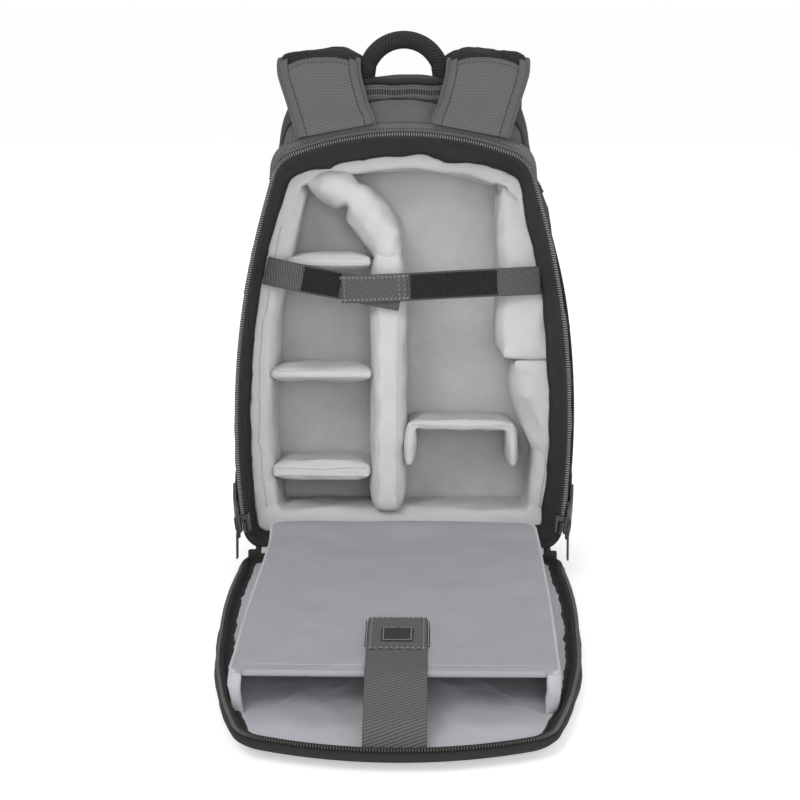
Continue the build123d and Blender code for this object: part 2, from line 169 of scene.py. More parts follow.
def normals(line):
    """Outward normals of a closed counter-clockwise line in (x, s)."""
    run = unit(np.roll(line, -1, 0) - np.roll(line, 1, 0))
    return np.stack([run[:, 1], -run[:, 0]], -1)


ZIP = zip_outline()
ZIP_OUT = normals(ZIP)


def flap_outline():
    """The open back panel is pulled in a little along its sides and squarer at its far end."""
    line = ZIP.copy()
    s = line[:, 1]
    pull = smooth_step(s / 50) * smooth_step((250 - s) / 90)
    line[:, 0] *= 1 - 0.026 * pull + 0.012 * np.exp(-((s - 305) / 32) ** 2)
    return line


FLAP_LINE = flap_outline()
FLAP_OUT = normals(FLAP_LINE)


def ring(inset, depth, line=ZIP, out=ZIP_OUT):
    """The zip line moved inwards and given a depth: points (x, d, s)."""
    p = line - out * np.broadcast_to(np.asarray(inset, float), len(line))[:, None]
    return xds(p[:, 0], depth, p[:, 1])


def push(row, out, amount):
    """Move bag-frame points along normals that are given in (x, s)."""
    row[:, 0] += out[:, 0] * amount
    row[:, 2] += out[:, 1] * amount


def closing(edge, count, depth=None):
    """Rings from an edge to its middle, to fill a closed outline; depth(x, s) sets their d."""
    middle = edge.mean(0)
    rows = []
    for q in np.linspace(1, 0.0005, count):
        row = middle + (edge - middle) * q
        if depth is not None:
            row[:, 1] = depth(row[:, 0], row[:, 2])
        rows.append(row)
    return rows


def ripple(p, size, seed, octaves=3):
    """Smooth random waves over points in millimetres, about -1 to 1."""
    random = np.random.default_rng(seed)
    p, total, amount = np.asarray(p, float), 0.0, 1.0
    for _ in range(octaves):
        for _ in range(5):
            k = unit(random.normal(size=3)) * 2 * math.pi / size * random.uniform(0.7, 1.3)
            total = total + amount * np.sin(p @ k + random.uniform(0, 6.28)) / 2.6
        amount, size = amount * 0.55, size * 0.5
    return total


def creases(p, size, seed):
    """Narrow ridges along the zero lines of the waves, 0 to 1."""
    return (1 - np.clip(np.abs(ripple(p, size, seed, 2)), 0, 1)) ** 5


# ------------------------------------------------------------------ materials
def linear(rgb):
    return [((c / 255 + 0.055) / 1.055) ** 2.4 for c in rgb] + [1.0]


def new_material(name):
    made = bpy.data.materials.new(name)
    made.use_nodes = True
    return made, made.node_tree, made.node_tree.nodes["Principled BSDF"]


def put(tree, value, socket):
    if isinstance(value, bpy.types.NodeSocket):
        tree.links.new(value, socket)
    else:
        socket.default_value = value


def calc(tree, operation, *values):
    node = tree.nodes.new("ShaderNodeMath")
    node.operation = operation
    for value, socket in zip(values, node.inputs):
        put(tree, value, socket)
    return node.outputs[0]


def uv_axes(tree):
    uv = tree.nodes.new("ShaderNodeUVMap")
    split = tree.nodes.new("ShaderNodeSeparateXYZ")
    tree.links.new(uv.outputs[0], split.inputs[0])
    return uv.outputs[0], split.outputs[0], split.outputs[1]


def noise_of(tree, vector, scale, detail=2.0):
    node = tree.nodes.new("ShaderNodeTexNoise")
    node.inputs["Scale"].default_value = scale
    node.inputs["Detail"].default_value = detail
    tree.links.new(vector, node.inputs["Vector"])
    return node.outputs["Fac"]


def weave_height(tree, kind, vector, u, v, pitch):
    """Height from 0 to 1 of one of the cloth patterns; u and v are in metres."""
    k = 2 * math.pi / pitch
    su = calc(tree, "SINE", calc(tree, "MULTIPLY", u, k))
    sv = calc(tree, "SINE", calc(tree, "MULTIPLY", v, k))
    if kind == "plain":
        return calc(tree, "MULTIPLY_ADD", calc(tree, "MULTIPLY", su, sv), 0.5, 0.5)
    if kind == "twill":
        slant = calc(tree, "SINE", calc(tree, "MULTIPLY", calc(tree, "ADD", u, v), k))
        threads = calc(tree, "ADD", slant, calc(tree, "MULTIPLY", su, 0.4))
        return calc(tree, "MULTIPLY_ADD", threads, 0.35, 0.5)
    if kind == "rib":
        slant = calc(tree, "ADD", v, calc(tree, "MULTIPLY", u, 0.35))
        ribs = calc(tree, "SINE", calc(tree, "MULTIPLY", slant, k))
        fine = calc(tree, "SINE", calc(tree, "MULTIPLY", u, 2 * k))
        threads = calc(tree, "ADD", ribs, calc(tree, "MULTIPLY", fine, 0.45))
        return calc(tree, "MULTIPLY_ADD", threads, 0.35, 0.5)
    if kind == "mesh":
        cells = tree.nodes.new("ShaderNodeTexVoronoi")
        cells.inputs["Scale"].default_value = 1 / pitch
        cells.inputs["Randomness"].default_value = 0.35
        tree.links.new(vector, cells.inputs["Vector"])
        return calc(tree, "MULTIPLY_ADD", cells.outputs["Distance"], 1.2, 0.0)
    return noise_of(tree, vector, 1 / pitch, 3.0)


def cloth(name, rgb, kind, pitch, contrast, bump, rough=0.85, mottle=0.1, sheen=0.15):
    """A procedural cloth: weave in colour and relief, with soft mottling over it."""
    made, tree, shader = new_material(name)
    vector, u, v = uv_axes(tree)
    height = weave_height(tree, kind, vector, u, v, pitch)
    patches = noise_of(tree, vector, 45.0, 3.0)
    fibres = noise_of(tree, vector, 1.6 / pitch, 1.0)
    tone = calc(tree, "MULTIPLY", height, contrast)
    tone = calc(tree, "ADD", tone, calc(tree, "MULTIPLY", patches, mottle))
    tone = calc(tree, "ADD", tone, calc(tree, "MULTIPLY", fibres, contrast * 0.4))
    tone = calc(tree, "ADD", tone, 1 - contrast * 0.7 - mottle * 0.5)
    mix = tree.nodes.new("ShaderNodeMix")
    mix.data_type, mix.blend_type, mix.clamp_factor = "RGBA", "MULTIPLY", True
    mix.inputs[0].default_value = 1.0
    mix.inputs[6].default_value = linear(rgb)
    grey = tree.nodes.new("ShaderNodeCombineColor")
    for i in range(3):
        tree.links.new(tone, grey.inputs[i])
    tree.links.new(grey.outputs[0], mix.inputs[7])
    tree.links.new(mix.outputs[2], shader.inputs["Base Color"])
    relief = tree.nodes.new("ShaderNodeBump")
    relief.inputs["Strength"].default_value = 1.0
    relief.inputs["Distance"].default_value = bump
    tree.links.new(calc(tree, "ADD", height, calc(tree, "MULTIPLY", fibres, 0.5)), relief.inputs["Height"])
    tree.links.new(relief.outputs[0], shader.inputs["Normal"])
    shader.inputs["Roughness"].default_value = rough
    shader.inputs["Specular IOR Level"].default_value = 0.25
    shader.inputs["Sheen Weight"].default_value = sheen
    shader.inputs["Sheen Roughness"].default_value = 0.6
    return made


def hard(name, rgb, rough, metallic, grain=900.0, depth=0.00004):
    """A procedural plastic or metal with fine grain."""
    made, tree, shader = new_material(name)
    place_at = tree.nodes.new("ShaderNodeTexCoord")
    grains = noise_of(tree, place_at.outputs["Object"], grain, 2.0)
    worn = noise_of(tree, place_at.outputs["Object"], grain / 12, 2.0)
    ramp = tree.nodes.new("ShaderNodeMapRange")
    ramp.inputs["To Min"].default_value, ramp.inputs["To Max"].default_value = rough - 0.1, rough + 0.12
    tree.links.new(worn, ramp.inputs["Value"])
    tree.links.new(ramp.outputs[0], shader.inputs["Roughness"])
    relief = tree.nodes.new("ShaderNodeBump")
    relief.inputs["Strength"].default_value = 1.0
    relief.inputs["Distance"].default_value = depth
    tree.links.new(grains, relief.inputs["Height"])
    tree.links.new(relief.outputs[0], shader.inputs["Normal"])
    shader.inputs["Base Color"].default_value = linear(rgb)
    shader.inputs["Metallic"].default_value = metallic
    return made


MATERIALS = {
    "twill": cloth("twill", (88, 88, 87), "twill", 0.0026, 0.80, 0.00024, 0.8, 0.12, 0.04),
    "nylon": cloth("nylon", (85, 85, 83), "plain", 0.0022, 0.60, 0.00020, 0.8, 0.14, 0.04),
    "side": cloth("side", (68, 68, 66), "plain", 0.0019, 0.45, 0.00018, 0.8, 0.12, 0.03),
    "dark": cloth("dark", (46, 46, 44), "plain", 0.0017, 0.5, 0.00016, 0.8, 0.2, 0.02),
    "rim": cloth("rim", (37, 37, 35), "plain", 0.0017, 0.5, 0.00016, 0.8, 0.2, 0.02),
    "boot": cloth("boot", (44, 44, 43), "plain", 0.0026, 0.5, 0.0003, 0.75, 0.15, 0.02),
    "binding": cloth("binding", (40, 40, 39), "rib", 0.0014, 0.5, 0.00014, 0.8, 0.15, 0.03),
    "lining": cloth("lining", (194, 193, 192), "plain", 0.0016, 0.20, 0.00012, 0.9, 0.16, 0.08),
    # panel and flap_lining are one satin in two tones: flap_lining is the lighter copy, painted light for the
    # back panel's lining, which lies in shade.
    "panel": cloth("panel", (149, 147, 153), "plain", 0.0015, 0.16, 0.00007, 0.7, 0.10, 0.05),
    "flap_lining": cloth("flap_lining", (174, 172, 178), "plain", 0.0015, 0.14, 0.00007, 0.75, 0.10, 0.05),
    "webbing": cloth("webbing", (84, 84, 83), "rib", 0.0024, 1.1, 0.0005, 0.8, 0.1, 0.03),
    "handle": cloth("handle", (38, 38, 37), "rib", 0.0028, 1.5, 0.0007, 0.8, 0.1, 0.03),
    "hook": cloth("hook", (31, 31, 31), "fuzz", 0.0016, 2.6, 0.0009, 0.95, 0.3, 0.05),
    "loop": cloth("loop", (30, 30, 30), "fuzz", 0.0019, 3.0, 0.0012, 0.95, 0.4, 0.08),
    "mesh": cloth("mesh", (24, 24, 23), "mesh", 0.0032, 2.2, 0.0010, 0.8, 0.1, 0.02),
    "thread": cloth("thread", (150, 150, 149), "plain", 0.0006, 0.2, 0.00005),
    "thread_dark": cloth("thread_dark", (30, 30, 29), "plain", 0.0006, 0.2, 0.00005),
    "thread_light": cloth("thread_light", (196, 196, 198), "plain", 0.0006, 0.2, 0.00005),
    "teeth": hard("teeth", (128, 128, 124), 0.38, 0.0),
    # The back panel's half of the main zip, in a darker copy of the coil colour: painted shade.
    "teeth_painted_shade": hard("teeth_painted_shade", (70, 70, 68), 0.42, 0.0),
    "metal": hard("metal", (66, 66, 66), 0.34, 0.9, 500.0),
    "plastic": hard("plastic", (34, 34, 34), 0.5, 0.0),
}


# ------------------------------------------------------------------ mesh building
def add(obj):
    bpy.context.scene.collection.objects.link(obj)
    return obj


def finish_piece(obj, material, body=None, replaces=()):
    obj.data.materials.append(MATERIALS[material])
    if body:
        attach(obj, body)
    if replaces:
        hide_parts(*replaces)
    return obj


def build(name, points, faces, uv):
    """A smooth mesh object; uv holds one (u, v) in metres for each face corner."""
    mesh = bpy.data.meshes.new(name)
    mesh.from_pydata(np.asarray(points).tolist(), [], faces)
    layer = mesh.uv_layers.new(name="UVMap")
    layer.data.foreach_set("uv", np.asarray(uv, np.float32).ravel())
    mesh.shade_smooth()
    return add(bpy.data.objects.new(name, mesh))


def skin(name, rows, material, body=None, wrap=False, thick=0.0, replaces=(), caps=False):
    """A surface through rows of world points; u runs along a row, v from row to row."""
    rows = np.array(rows, float)
    m, n = rows.shape[:2]
    index = np.arange(m * n).reshape(m, n)
    wide = np.concatenate([rows, rows[:, :1]], 1) if wrap else rows
    index = np.concatenate([index, index[:, :1]], 1) if wrap else index
    u = np.concatenate([[0], np.cumsum(np.linalg.norm(np.diff(wide, axis=1), axis=2).max(0))])
    v = np.concatenate([[0], np.cumsum(np.linalg.norm(np.diff(rows, axis=0), axis=2).mean(1))])
    uu, vv = np.meshgrid(u, v)
    corner = [(slice(0, -1), slice(0, -1)), (slice(0, -1), slice(1, None)),
              (slice(1, None), slice(1, None)), (slice(1, None), slice(0, -1))]
    faces = np.stack([index[c] for c in corner], -1).reshape(-1, 4)
    uv = np.stack([np.stack([uu[c], vv[c]], -1) for c in corner], -2).reshape(-1, 2)
    faces = faces.tolist()
    if caps:
        for loop in (index[0, :n][::-1], index[-1, :n]):
            faces.append(loop.tolist())
            uv = np.vstack([uv, rows.reshape(-1, 3)[loop][:, [0, 2]]])
    obj = build(name, rows.reshape(-1, 3), faces, uv)
    if thick:
        wall = obj.modifiers.new("thickness", "SOLIDIFY")
        wall.thickness, wall.offset = thick, 0.0
    return finish_piece(obj, material, body, replaces)


def moving_frames(path, closed=False, start=None):
    """Unit tangents, sideways and upward directions that turn as little as possible."""
    p = np.asarray(path, float)
    if closed:
        run = unit(np.roll(p, -1, 0) - np.roll(p, 1, 0))
    else:
        run = unit(np.gradient(p, axis=0))
    side = np.zeros_like(p)
    first = np.array(start if start is not None else (0.3, 0.5, 0.8), float)
    side[0] = unit(first - run[0] * (first @ run[0]))
    for i in range(1, len(p)):
        w = side[i - 1] - run[i] * (side[i - 1] @ run[i])
        side[i] = unit(w)
    return run, side, np.cross(run, side)


def tube(name, path, radius, material, body=None, sides=8, closed=False, replaces=(), flat=1.0, start=None):
    """A round cord along world points; radius in metres may differ along it."""
    _, side, up = moving_frames(path, closed, start)
    r = np.broadcast_to(np.asarray(radius, float), len(path))[:, None, None]
    a = np.linspace(0, 2 * math.pi, sides, endpoint=False)
    rows = np.asarray(path)[:, None] + r * (
        np.cos(a)[None, :, None] * side[:, None] + flat * np.sin(a)[None, :, None] * up[:, None])
    if closed:
        rows = np.concatenate([rows, rows[:1]])
    return skin(name, rows, material, body, wrap=True, replaces=replaces, caps=not closed)


SECTION = [(-0.5, 0.0), (-0.488, 0.36), (-0.46, 0.5), (-0.3, 0.5), (-0.15, 0.5), (0, 0.5),
           (0.15, 0.5), (0.3, 0.5), (0.46, 0.5), (0.488, 0.36)]
SECTION = np.array(SECTION + [(-a, -b) for a, b in SECTION])


def strap(name, path, across, width, thick, material, body=None, replaces=()):
    """Webbing: a flat band along world points, across gives its width direction."""
    p = np.asarray(path, float)
    run = unit(np.gradient(p, axis=0))
    across = np.broadcast_to(np.asarray(across, float), p.shape)
    across = unit(across - run * (across * run).sum(1, keepdims=True))
    up = np.cross(run, across)
    w = np.broadcast_to(np.asarray(width, float), len(p))[:, None, None]
    t = np.broadcast_to(np.asarray(thick, float), len(p))[:, None, None]
    rows = p[:, None] + SECTION[None, :, :1] * w * across[:, None] + SECTION[None, :, 1:] * t * up[:, None]
    return skin(name, rows, material, body, wrap=True, replaces=replaces, caps=True)


def scatter(name, centres, along, out, size, material, body, rings=4, sides=6):
    """Many small rounded grains, such as stitches and zip teeth, as one mesh."""
    size = np.asarray(size, float)
    across = np.cross(along, out)
    levels = np.cos(np.linspace(0, math.pi, rings))
    widths = np.sin(np.linspace(0, math.pi, rings)) ** 0.5
    widths[0] = widths[-1] = 0.45
    a = np.linspace(0, 2 * math.pi, sides, endpoint=False)
    local = np.stack([np.repeat(levels, sides), np.outer(widths, np.cos(a)).ravel(),
                      np.outer(widths, np.sin(a)).ravel()], -1) * size / 2
    points = (centres[:, None] + local[None, :, :1] * along[:, None]
              + local[None, :, 1:2] * across[:, None] + local[None, :, 2:] * out[:, None])
    index = np.arange(rings * sides).reshape(rings, sides)
    index = np.concatenate([index, index[:, :1]], 1)
    quads = np.stack([index[:-1, :-1], index[:-1, 1:], index[1:, 1:], index[1:, :-1]], -1).reshape(-1, 4)
    ends = [index[0, :sides][::-1].tolist(), index[-1, :sides].tolist()]
    faces, step = [], rings * sides
    for i in range(len(centres)):
        faces += (quads + i * step).tolist()
        faces += [[k + i * step for k in end] for end in ends]
    flat = points.reshape(-1, 3)
    uv = np.concatenate([flat[np.array(f)][:, :2] for f in faces])
    return finish_piece(build(name, flat, faces, uv), material, body)


STITCH = (0.0024, 0.0007, 0.0006)
ZIP_TOOTH, SMALL_TOOTH = (0.0034, 0.0013, 0.0026), (0.0024, 0.0013, 0.0016)
stitch_rows = {}


def stitch(path, out, body, material="thread", pitch=0.0034):
    """Keep a row of stitches along world points; all rows are built together at the end."""
    p = np.asarray(path, float)
    length = np.linalg.norm(np.diff(p, axis=0), axis=1).sum()
    count = max(int(length / pitch), 2)
    spots = resample(p, count)
    out = np.asarray(out, float)
    if out.ndim == 2:
        out = resample(out, count)
    run = unit(np.gradient(spots, axis=0))
    out = np.broadcast_to(out, spots.shape)
    out = unit(out - run * (out * run).sum(1, keepdims=True))
    stitch_rows.setdefault((body, material), []).append((spots, run, out))


def zigzag(a, b, out, body, material="thread", wide=0.0035, pitch=0.0028):
    """A bartack: zigzag stitches between two world points."""
    a, b, out = np.asarray(a, float), np.asarray(b, float), unit(out)
    count = max(int(np.linalg.norm(b - a) / pitch), 2)
    side = unit(np.cross(b - a, out)) * wide / 2
    corners = [a + (b - a) * i / count + side * (-1) ** i for i in range(count + 1)]
    middles = np.array([(p + q) / 2 for p, q in zip(corners, corners[1:])])
    run = unit(np.array([q - p for p, q in zip(corners, corners[1:])]))
    stitch_rows.setdefault((body, material), []).append((middles, run, np.broadcast_to(out, run.shape)))


def sew_all():
    for (body, material), rows in stitch_rows.items():
        parts = [np.concatenate(column) for column in zip(*rows)]
        scatter(f"stitches_{material}_{body}", *parts, STITCH, material, body, rings=3, sides=5)


def teeth_row(name, path, across, out, body, pitch=0.0021, size=ZIP_TOOTH, material="teeth"):
    """Coil teeth standing across a zip's edge."""
    count = int(np.linalg.norm(np.diff(path, axis=0), axis=1).sum() / pitch)
    spots = resample(path, count)
    run = unit(np.gradient(spots, axis=0))
    across, up = (unit(resample(way, count)) if np.ndim(way) == 2 else np.broadcast_to(unit(way), spots.shape)
                  for way in (across, out))
    across = unit(across - run * (across * run).sum(1, keepdims=True))
    return scatter(name, spots, across, up, size, material, body, rings=4, sides=6)


# ------------------------------------------------------------------ padded pieces
def coordinates(mesh):
    out = np.zeros(len(mesh.vertices) * 3)
    mesh.vertices.foreach_get("co", out)
    return out.reshape(-1, 3)


def set_coordinates(mesh, points):
    mesh.vertices.foreach_set("co", np.asarray(points, float).ravel())
    mesh.update()


def applied(obj):
    """The object's mesh with its modifiers applied."""
    shown = obj.evaluated_get(bpy.context.evaluated_depsgraph_get())
    mesh = bpy.data.meshes.new_from_object(shown)
    obj.modifiers.clear()
    obj.data = mesh
    return obj


def box_uv(mesh):
    """Cloth coordinates in metres, laid on from the side each face looks to."""
    layer = mesh.uv_layers.get("UVMap") or mesh.uv_layers.new(name="UVMap")
    co = coordinates(mesh)
    normal = np.zeros(len(mesh.polygons) * 3)
    mesh.polygons.foreach_get("normal", normal)
    total = np.zeros(len(mesh.polygons), int)
    mesh.polygons.foreach_get("loop_total", total)
    facing = np.repeat(np.abs(normal.reshape(-1, 3)).argmax(1), total)
    verts = np.zeros(len(mesh.loops), int)
    mesh.loops.foreach_get("vertex_index", verts)
    p = co[verts]
    u = np.where(facing == 0, p[:, 1], p[:, 0])
    v = np.where(facing == 2, p[:, 1], p[:, 2])
    layer.data.foreach_set("uv", np.stack([u, v], -1).astype(np.float32).ravel())


def padded_copy(name, nodes, voxel=0.005, shrink=0.0006):
    """CAD solids as one closed skin of even quads, a little smaller, to be filled."""
    points, faces = [], []
    for node in nodes:
        mesh = frame["nodes"][node].data
        start = len(points)
        points += coordinates(mesh).tolist()
        faces += [[start + i for i in p.vertices] for p in mesh.polygons]
    mesh = bpy.data.meshes.new(name)
    mesh.from_pydata(points, [], faces)
    obj = add(bpy.data.objects.new(name, mesh))
    even = obj.modifiers.new("even", "REMESH")
    even.mode, even.voxel_size = "VOXEL", voxel
    soften = obj.modifiers.new("soften", "SMOOTH")
    soften.factor, soften.iterations = 0.5, 4
    less = obj.modifiers.new("less", "DISPLACE")
    less.strength, less.mid_level = -shrink, 0.0
    return applied(obj)


def fill_pads(pads, steps=20):
    """Cloth simulation of all pads at once: pressure swells them, and creases stay in them."""
    before = {}
    for pad in pads:
        obj = pad["obj"]
        before[obj.name] = coordinates(obj.data)
        if not SLOW:
            continue
        sim = obj.modifiers.new("cloth", "CLOTH")
        sim.settings.quality = 4
        sim.settings.mass = 0.2
        for key in ("tension_stiffness", "compression_stiffness", "shear_stiffness"):
            setattr(sim.settings, key, 8.0)
        sim.settings.bending_stiffness = 0.25
        sim.settings.use_pressure = True
        sim.settings.uniform_pressure_force = pad["pressure"]
        sim.settings.effector_weights.gravity = 0.0
        sim.collision_settings.use_collision = False
    scene = bpy.context.scene
    if SLOW:
        for f in range(1, steps + 1):
            scene.frame_set(f)
    for pad in pads:
        obj, rest = pad["obj"], before[pad["obj"].name]
        if SLOW:
            shown = obj.evaluated_get(bpy.context.evaluated_depsgraph_get())
            moved = coordinates(shown.data) - rest
            moved -= moved.mean(0)
            far = np.linalg.norm(moved, axis=1, keepdims=True)
            moved *= np.minimum(1, pad["cap"] / np.maximum(far, 1e-9))
        else:
            moved = np.zeros_like(rest)
        obj.modifiers.clear()
        mm = rest * 1000
        soft = ripple(mm, 55, pad["seed"])[:, None] * 0.0009
        normal = np.zeros(len(rest) * 3)
        obj.data.vertices.foreach_get("normal", normal)
        moved = moved + (soft + pad["grow"]) * normal.reshape(-1, 3)
        if pad["hold"] is not None:
            moved *= pad["hold"](from_bag(rest))[:, None]
        points = rest + moved
        if pad["shape"] is not None:
            points = pad["shape"](points)
        if pad["body"] != "back_panel":
            points = behind_straps(points)
        set_coordinates(obj.data, points)
        finer = obj.modifiers.new("finer", "SUBSURF")
        finer.levels = finer.render_levels = 1
        applied(obj)
        box_uv(obj.data)
        obj.data.shade_smooth()
        obj.data.materials.clear()
        finish_piece(obj, pad["material"], pad["body"], pad["nodes"])
    if SLOW:
        scene.frame_set(1)


def pad(name, nodes, body="bag", material="lining", pressure=4.0, cap=0.006, fill=0.7, voxel=0.005,
        hold=None, shape=None, seed=1, grow=0.0):
    obj = padded_copy(name, nodes, voxel)
    return dict(obj=obj, nodes=nodes, body=body, material=material, pressure=pressure, cap=cap,
                fill=fill, hold=hold, shape=shape, seed=seed, grow=grow)


def on_surface(obj, points, lift=0.0):
    """World points moved to the nearest place on a piece, lifted along its normal."""
    out, facing = [], []
    for p in np.asarray(points):
        _, spot, normal, _ = obj.closest_point_on_mesh(obj.matrix_world.inverted() @ Vector(p))
        out.append(np.array(spot + normal * lift))
        facing.append(np.array(normal))
    return np.array(out), np.array(facing)


def seam_on(name, obj, points, body, material, radius=0.0008, stitches=None):
    """A raised seam on a padded piece, with stitches beside it if asked."""
    line = resample(points, max(len(points), 40))
    spots, facing = on_surface(obj, line, radius * 0.3)
    spots = 0.25 * np.roll(spots, 1, 0) + 0.5 * spots + 0.25 * np.roll(spots, -1, 0)
    spots = spots[1:-1]
    tube(name, spots, radius, material, body, sides=6)
    if stitches:
        stitch(spots, facing[1:-1], body, stitches)


# ------------------------------------------------------------------ body shell
SHELL_DEPTHS = 26
SHELL_TOP = 423.0


def silhouette():
    """The bag's outline seen from the opening: the zip line, with narrower shoulders above it."""
    half = ZIP[: len(ZIP) // 2]
    low = half[(half[:, 1] < 322) & (half[:, 0] > 0)]
    shoulder = rounded([tuple(low[-1]), (111.5, 352), (104, 407), (0, SHELL_TOP + 2)], [0, 60, 38, 0],
                       closed=False, steps=20)
    crown = [(x, SHELL_TOP - 17 * (x / 70) ** 2) for x in np.linspace(70, 0, 12)]
    shoulder = [tuple(q) for q in shoulder if q[0] > 72]
    right = np.array([(0, -1), *map(tuple, low), *shoulder, *crown])
    left = right[1:-1][::-1] * [-1, 1]
    line = resample(np.vstack([right, left]), 360, closed=True)
    for _ in range(6):
        line = (np.roll(line, 1, 0) + 2 * line + np.roll(line, -1, 0)) / 4
    return line


BODY_LINE = silhouette()
BODY_OUT = normals(BODY_LINE)


def shell_point_rows():
    s = BODY_LINE[:, 1]
    deep = partition_d(s) + 4
    rows = []
    low_part = smooth_step((330 - s) / 120) * smooth_step((s + 12) / 60)
    for w in np.linspace(0, 1, SHELL_DEPTHS):
        d = 4.4 + w * (deep - 4.4)
        swell = 3.5 * np.sin(math.pi * min(w * 1.05, 1)) ** 0.7 * low_part
        rear = np.clip(1 - (d - 4.4) / 9, 0, 1)
        front = np.clip(1 - (deep - d) / 16, 0, 1)
        inset = 5.0 * (1 - np.sqrt(1 - rear**2)) + 13 * (1 - np.sqrt(1 - front**2 * 0.98)) - swell
        row = ring(inset, d, BODY_LINE, BODY_OUT)
        top_rear = np.clip(1 - (d - 6) / 22, 0, 1)
        top_front = np.clip(1 - (deep - d) / 46, 0, 1)
        drop = 20 * (1 - np.sqrt(1 - top_rear**2)) + 40 * (1 - np.sqrt(1 - top_front**2 * 0.97))
        row[:, 2] -= drop * smooth_step((s - 345) / 75)
        sag = ripple(row, 95, 3) * 1.5 + creases(row, 120, 4) * 1.3 - 0.8
        fade = min(w * 6, 1)
        row[:, 0] += BODY_OUT[:, 0] * sag * fade
        row[:, 2] += BODY_OUT[:, 1] * sag * fade * 0.6
        rows.append(row)
    return rows


def make_shell():
    rows = shell_point_rows()
    front = closing(rows[-1], 8, lambda x, s: partition_d(s) + 4)
    shell = skin("body_shell", in_bag(rows + front[1:]), "side", "bag", wrap=True,
                 replaces=("floor_panel", "side_panel_left", "side_panel_right", "arch_panel",
                           "front_partition", "yoke_shell"))
    skin("zip_seam_allowance", in_bag([ring(*q) for q in ((4.2, 4.3), (2.0, 4.3), (0.2, 5.0), (-0.4, 6.5))]),
         "dark", "bag", wrap=True)


def arch_part(line, low=300.0, count=140):
    """The part of a closed line above a height, from right to left."""
    return resample(line[line[:, 1] > low], count)


YOKE_LOW = 326.0


def make_yoke():
    inner, outer = arch_part(ZIP, YOKE_LOW), arch_part(BODY_LINE, YOKE_LOW)
    edge = arch_part(BODY_LINE - BODY_OUT * 4.6, YOKE_LOW)
    out = unit(np.stack([np.gradient(inner[:, 1]), -np.gradient(inner[:, 0])], -1))
    rows = []
    for v in np.linspace(0, 1, 22):
        p = inner * (1 - v) + edge * v
        s = p[:, 1] - 20 * smooth_step((outer[:, 1] - 345) / 75) * v**2.5
        d = 3.6 - 2.0 * math.sin(math.pi * min(v * 1.4, 1)) + 0.5 * v**3
        row = xds(p[:, 0], d, s)
        row[:, 1] += (ripple(row, 60, 8) * 1.0 + creases(row, 45, 9) * -0.9) * math.sin(math.pi * v)
        rows.append(row)
    skin("yoke_face", in_bag(rows), "nylon", "bag", thick=0.0012)
    tube("yoke_piping", in_bag(rows[-1] + [0, 0.2, 0]), 0.0015, "binding", "bag", sides=10)
    band = []
    narrow = smooth_step((inner[:, 1] - YOKE_LOW - 2) / 26) * 0.94 + 0.06
    for a, d in ((-0.3, 2.6), (-1.6, 0.9), (-4.5, 0.4), (-8.0, 0.6), (-9.6, 1.3), (-9.8, 2.4)):
        p = inner - out * (a * narrow)[:, None]
        band.append(xds(p[:, 0], d * narrow + 3.4 * (1 - narrow), p[:, 1]))
    skin("arch_seam_band", in_bag(band), "twill", "bag", thick=0.0008)
    for off in (3.2, 8.2):
        p = (inner + out * off)[narrow > 0.98]
        stitch(in_bag(xds(p[:, 0], -0.1, p[:, 1])), bag_way([0, -1, 0]), "bag", "thread_dark")


BOOT_PROFILE = ((0.0, 9.0), (0.0, 5.0), (0.05, 1.6), (0.14, 0.0), (0.3, -1.2), (0.5, -1.8), (0.7, -1.4),
                (0.85, -0.4), (1.0, 1.2))


def make_boot():
    """Padded base boot that the body sits in."""
    plan = rounded([(0, -95), (134, -95), (134, 101), (-134, 101), (-134, -95)],
                   [0.01, 26, 26, 26, 26], steps=24)
    plan = resample(plan, 260, closed=True)
    out = normals(plan)
    top = 42 - math.tan(LEAN) * (plan[:, 1] + 100) + 3.0
    rows = []
    for f, inset in BOOT_PROFILE:
        row = np.column_stack([plan - out * inset, f * top])
        wave = ripple(row, 70, 12) * 0.9 * (f > 0.2)
        row[:, :2] += out * wave[:, None]
        rows.append(row)
    floor = closing(rows[0], 8)
    lid = closing(rows[-1] - np.column_stack([out * 2.5, 0 * top]), 8)
    for row in lid:
        row[:, 2] = 42 - math.tan(LEAN) * (row[:, 1] + 100) + 2.2
    rows = floor[::-1] + rows[1:] + lid
    boot = skin("base_boot_cover", np.array(rows) / 1000, "boot", "bag", wrap=True, replaces=("base_boot",))
    edge = np.column_stack([plan - out * 0.2, top])
    tube("boot_piping", edge / 1000, 0.002, "binding", "bag", closed=True)
    line = np.column_stack([plan + out * 1.7, top * 0.72])
    away = np.column_stack([out, 0 * top])
    stitch(np.vstack([line, line[:1]]) / 1000, np.vstack([away, away[:1]]), "bag", "thread")


# ------------------------------------------------------------------ front and side pockets
def pocket_face_d(s):
    return 203 - 0.15 * np.asarray(s)


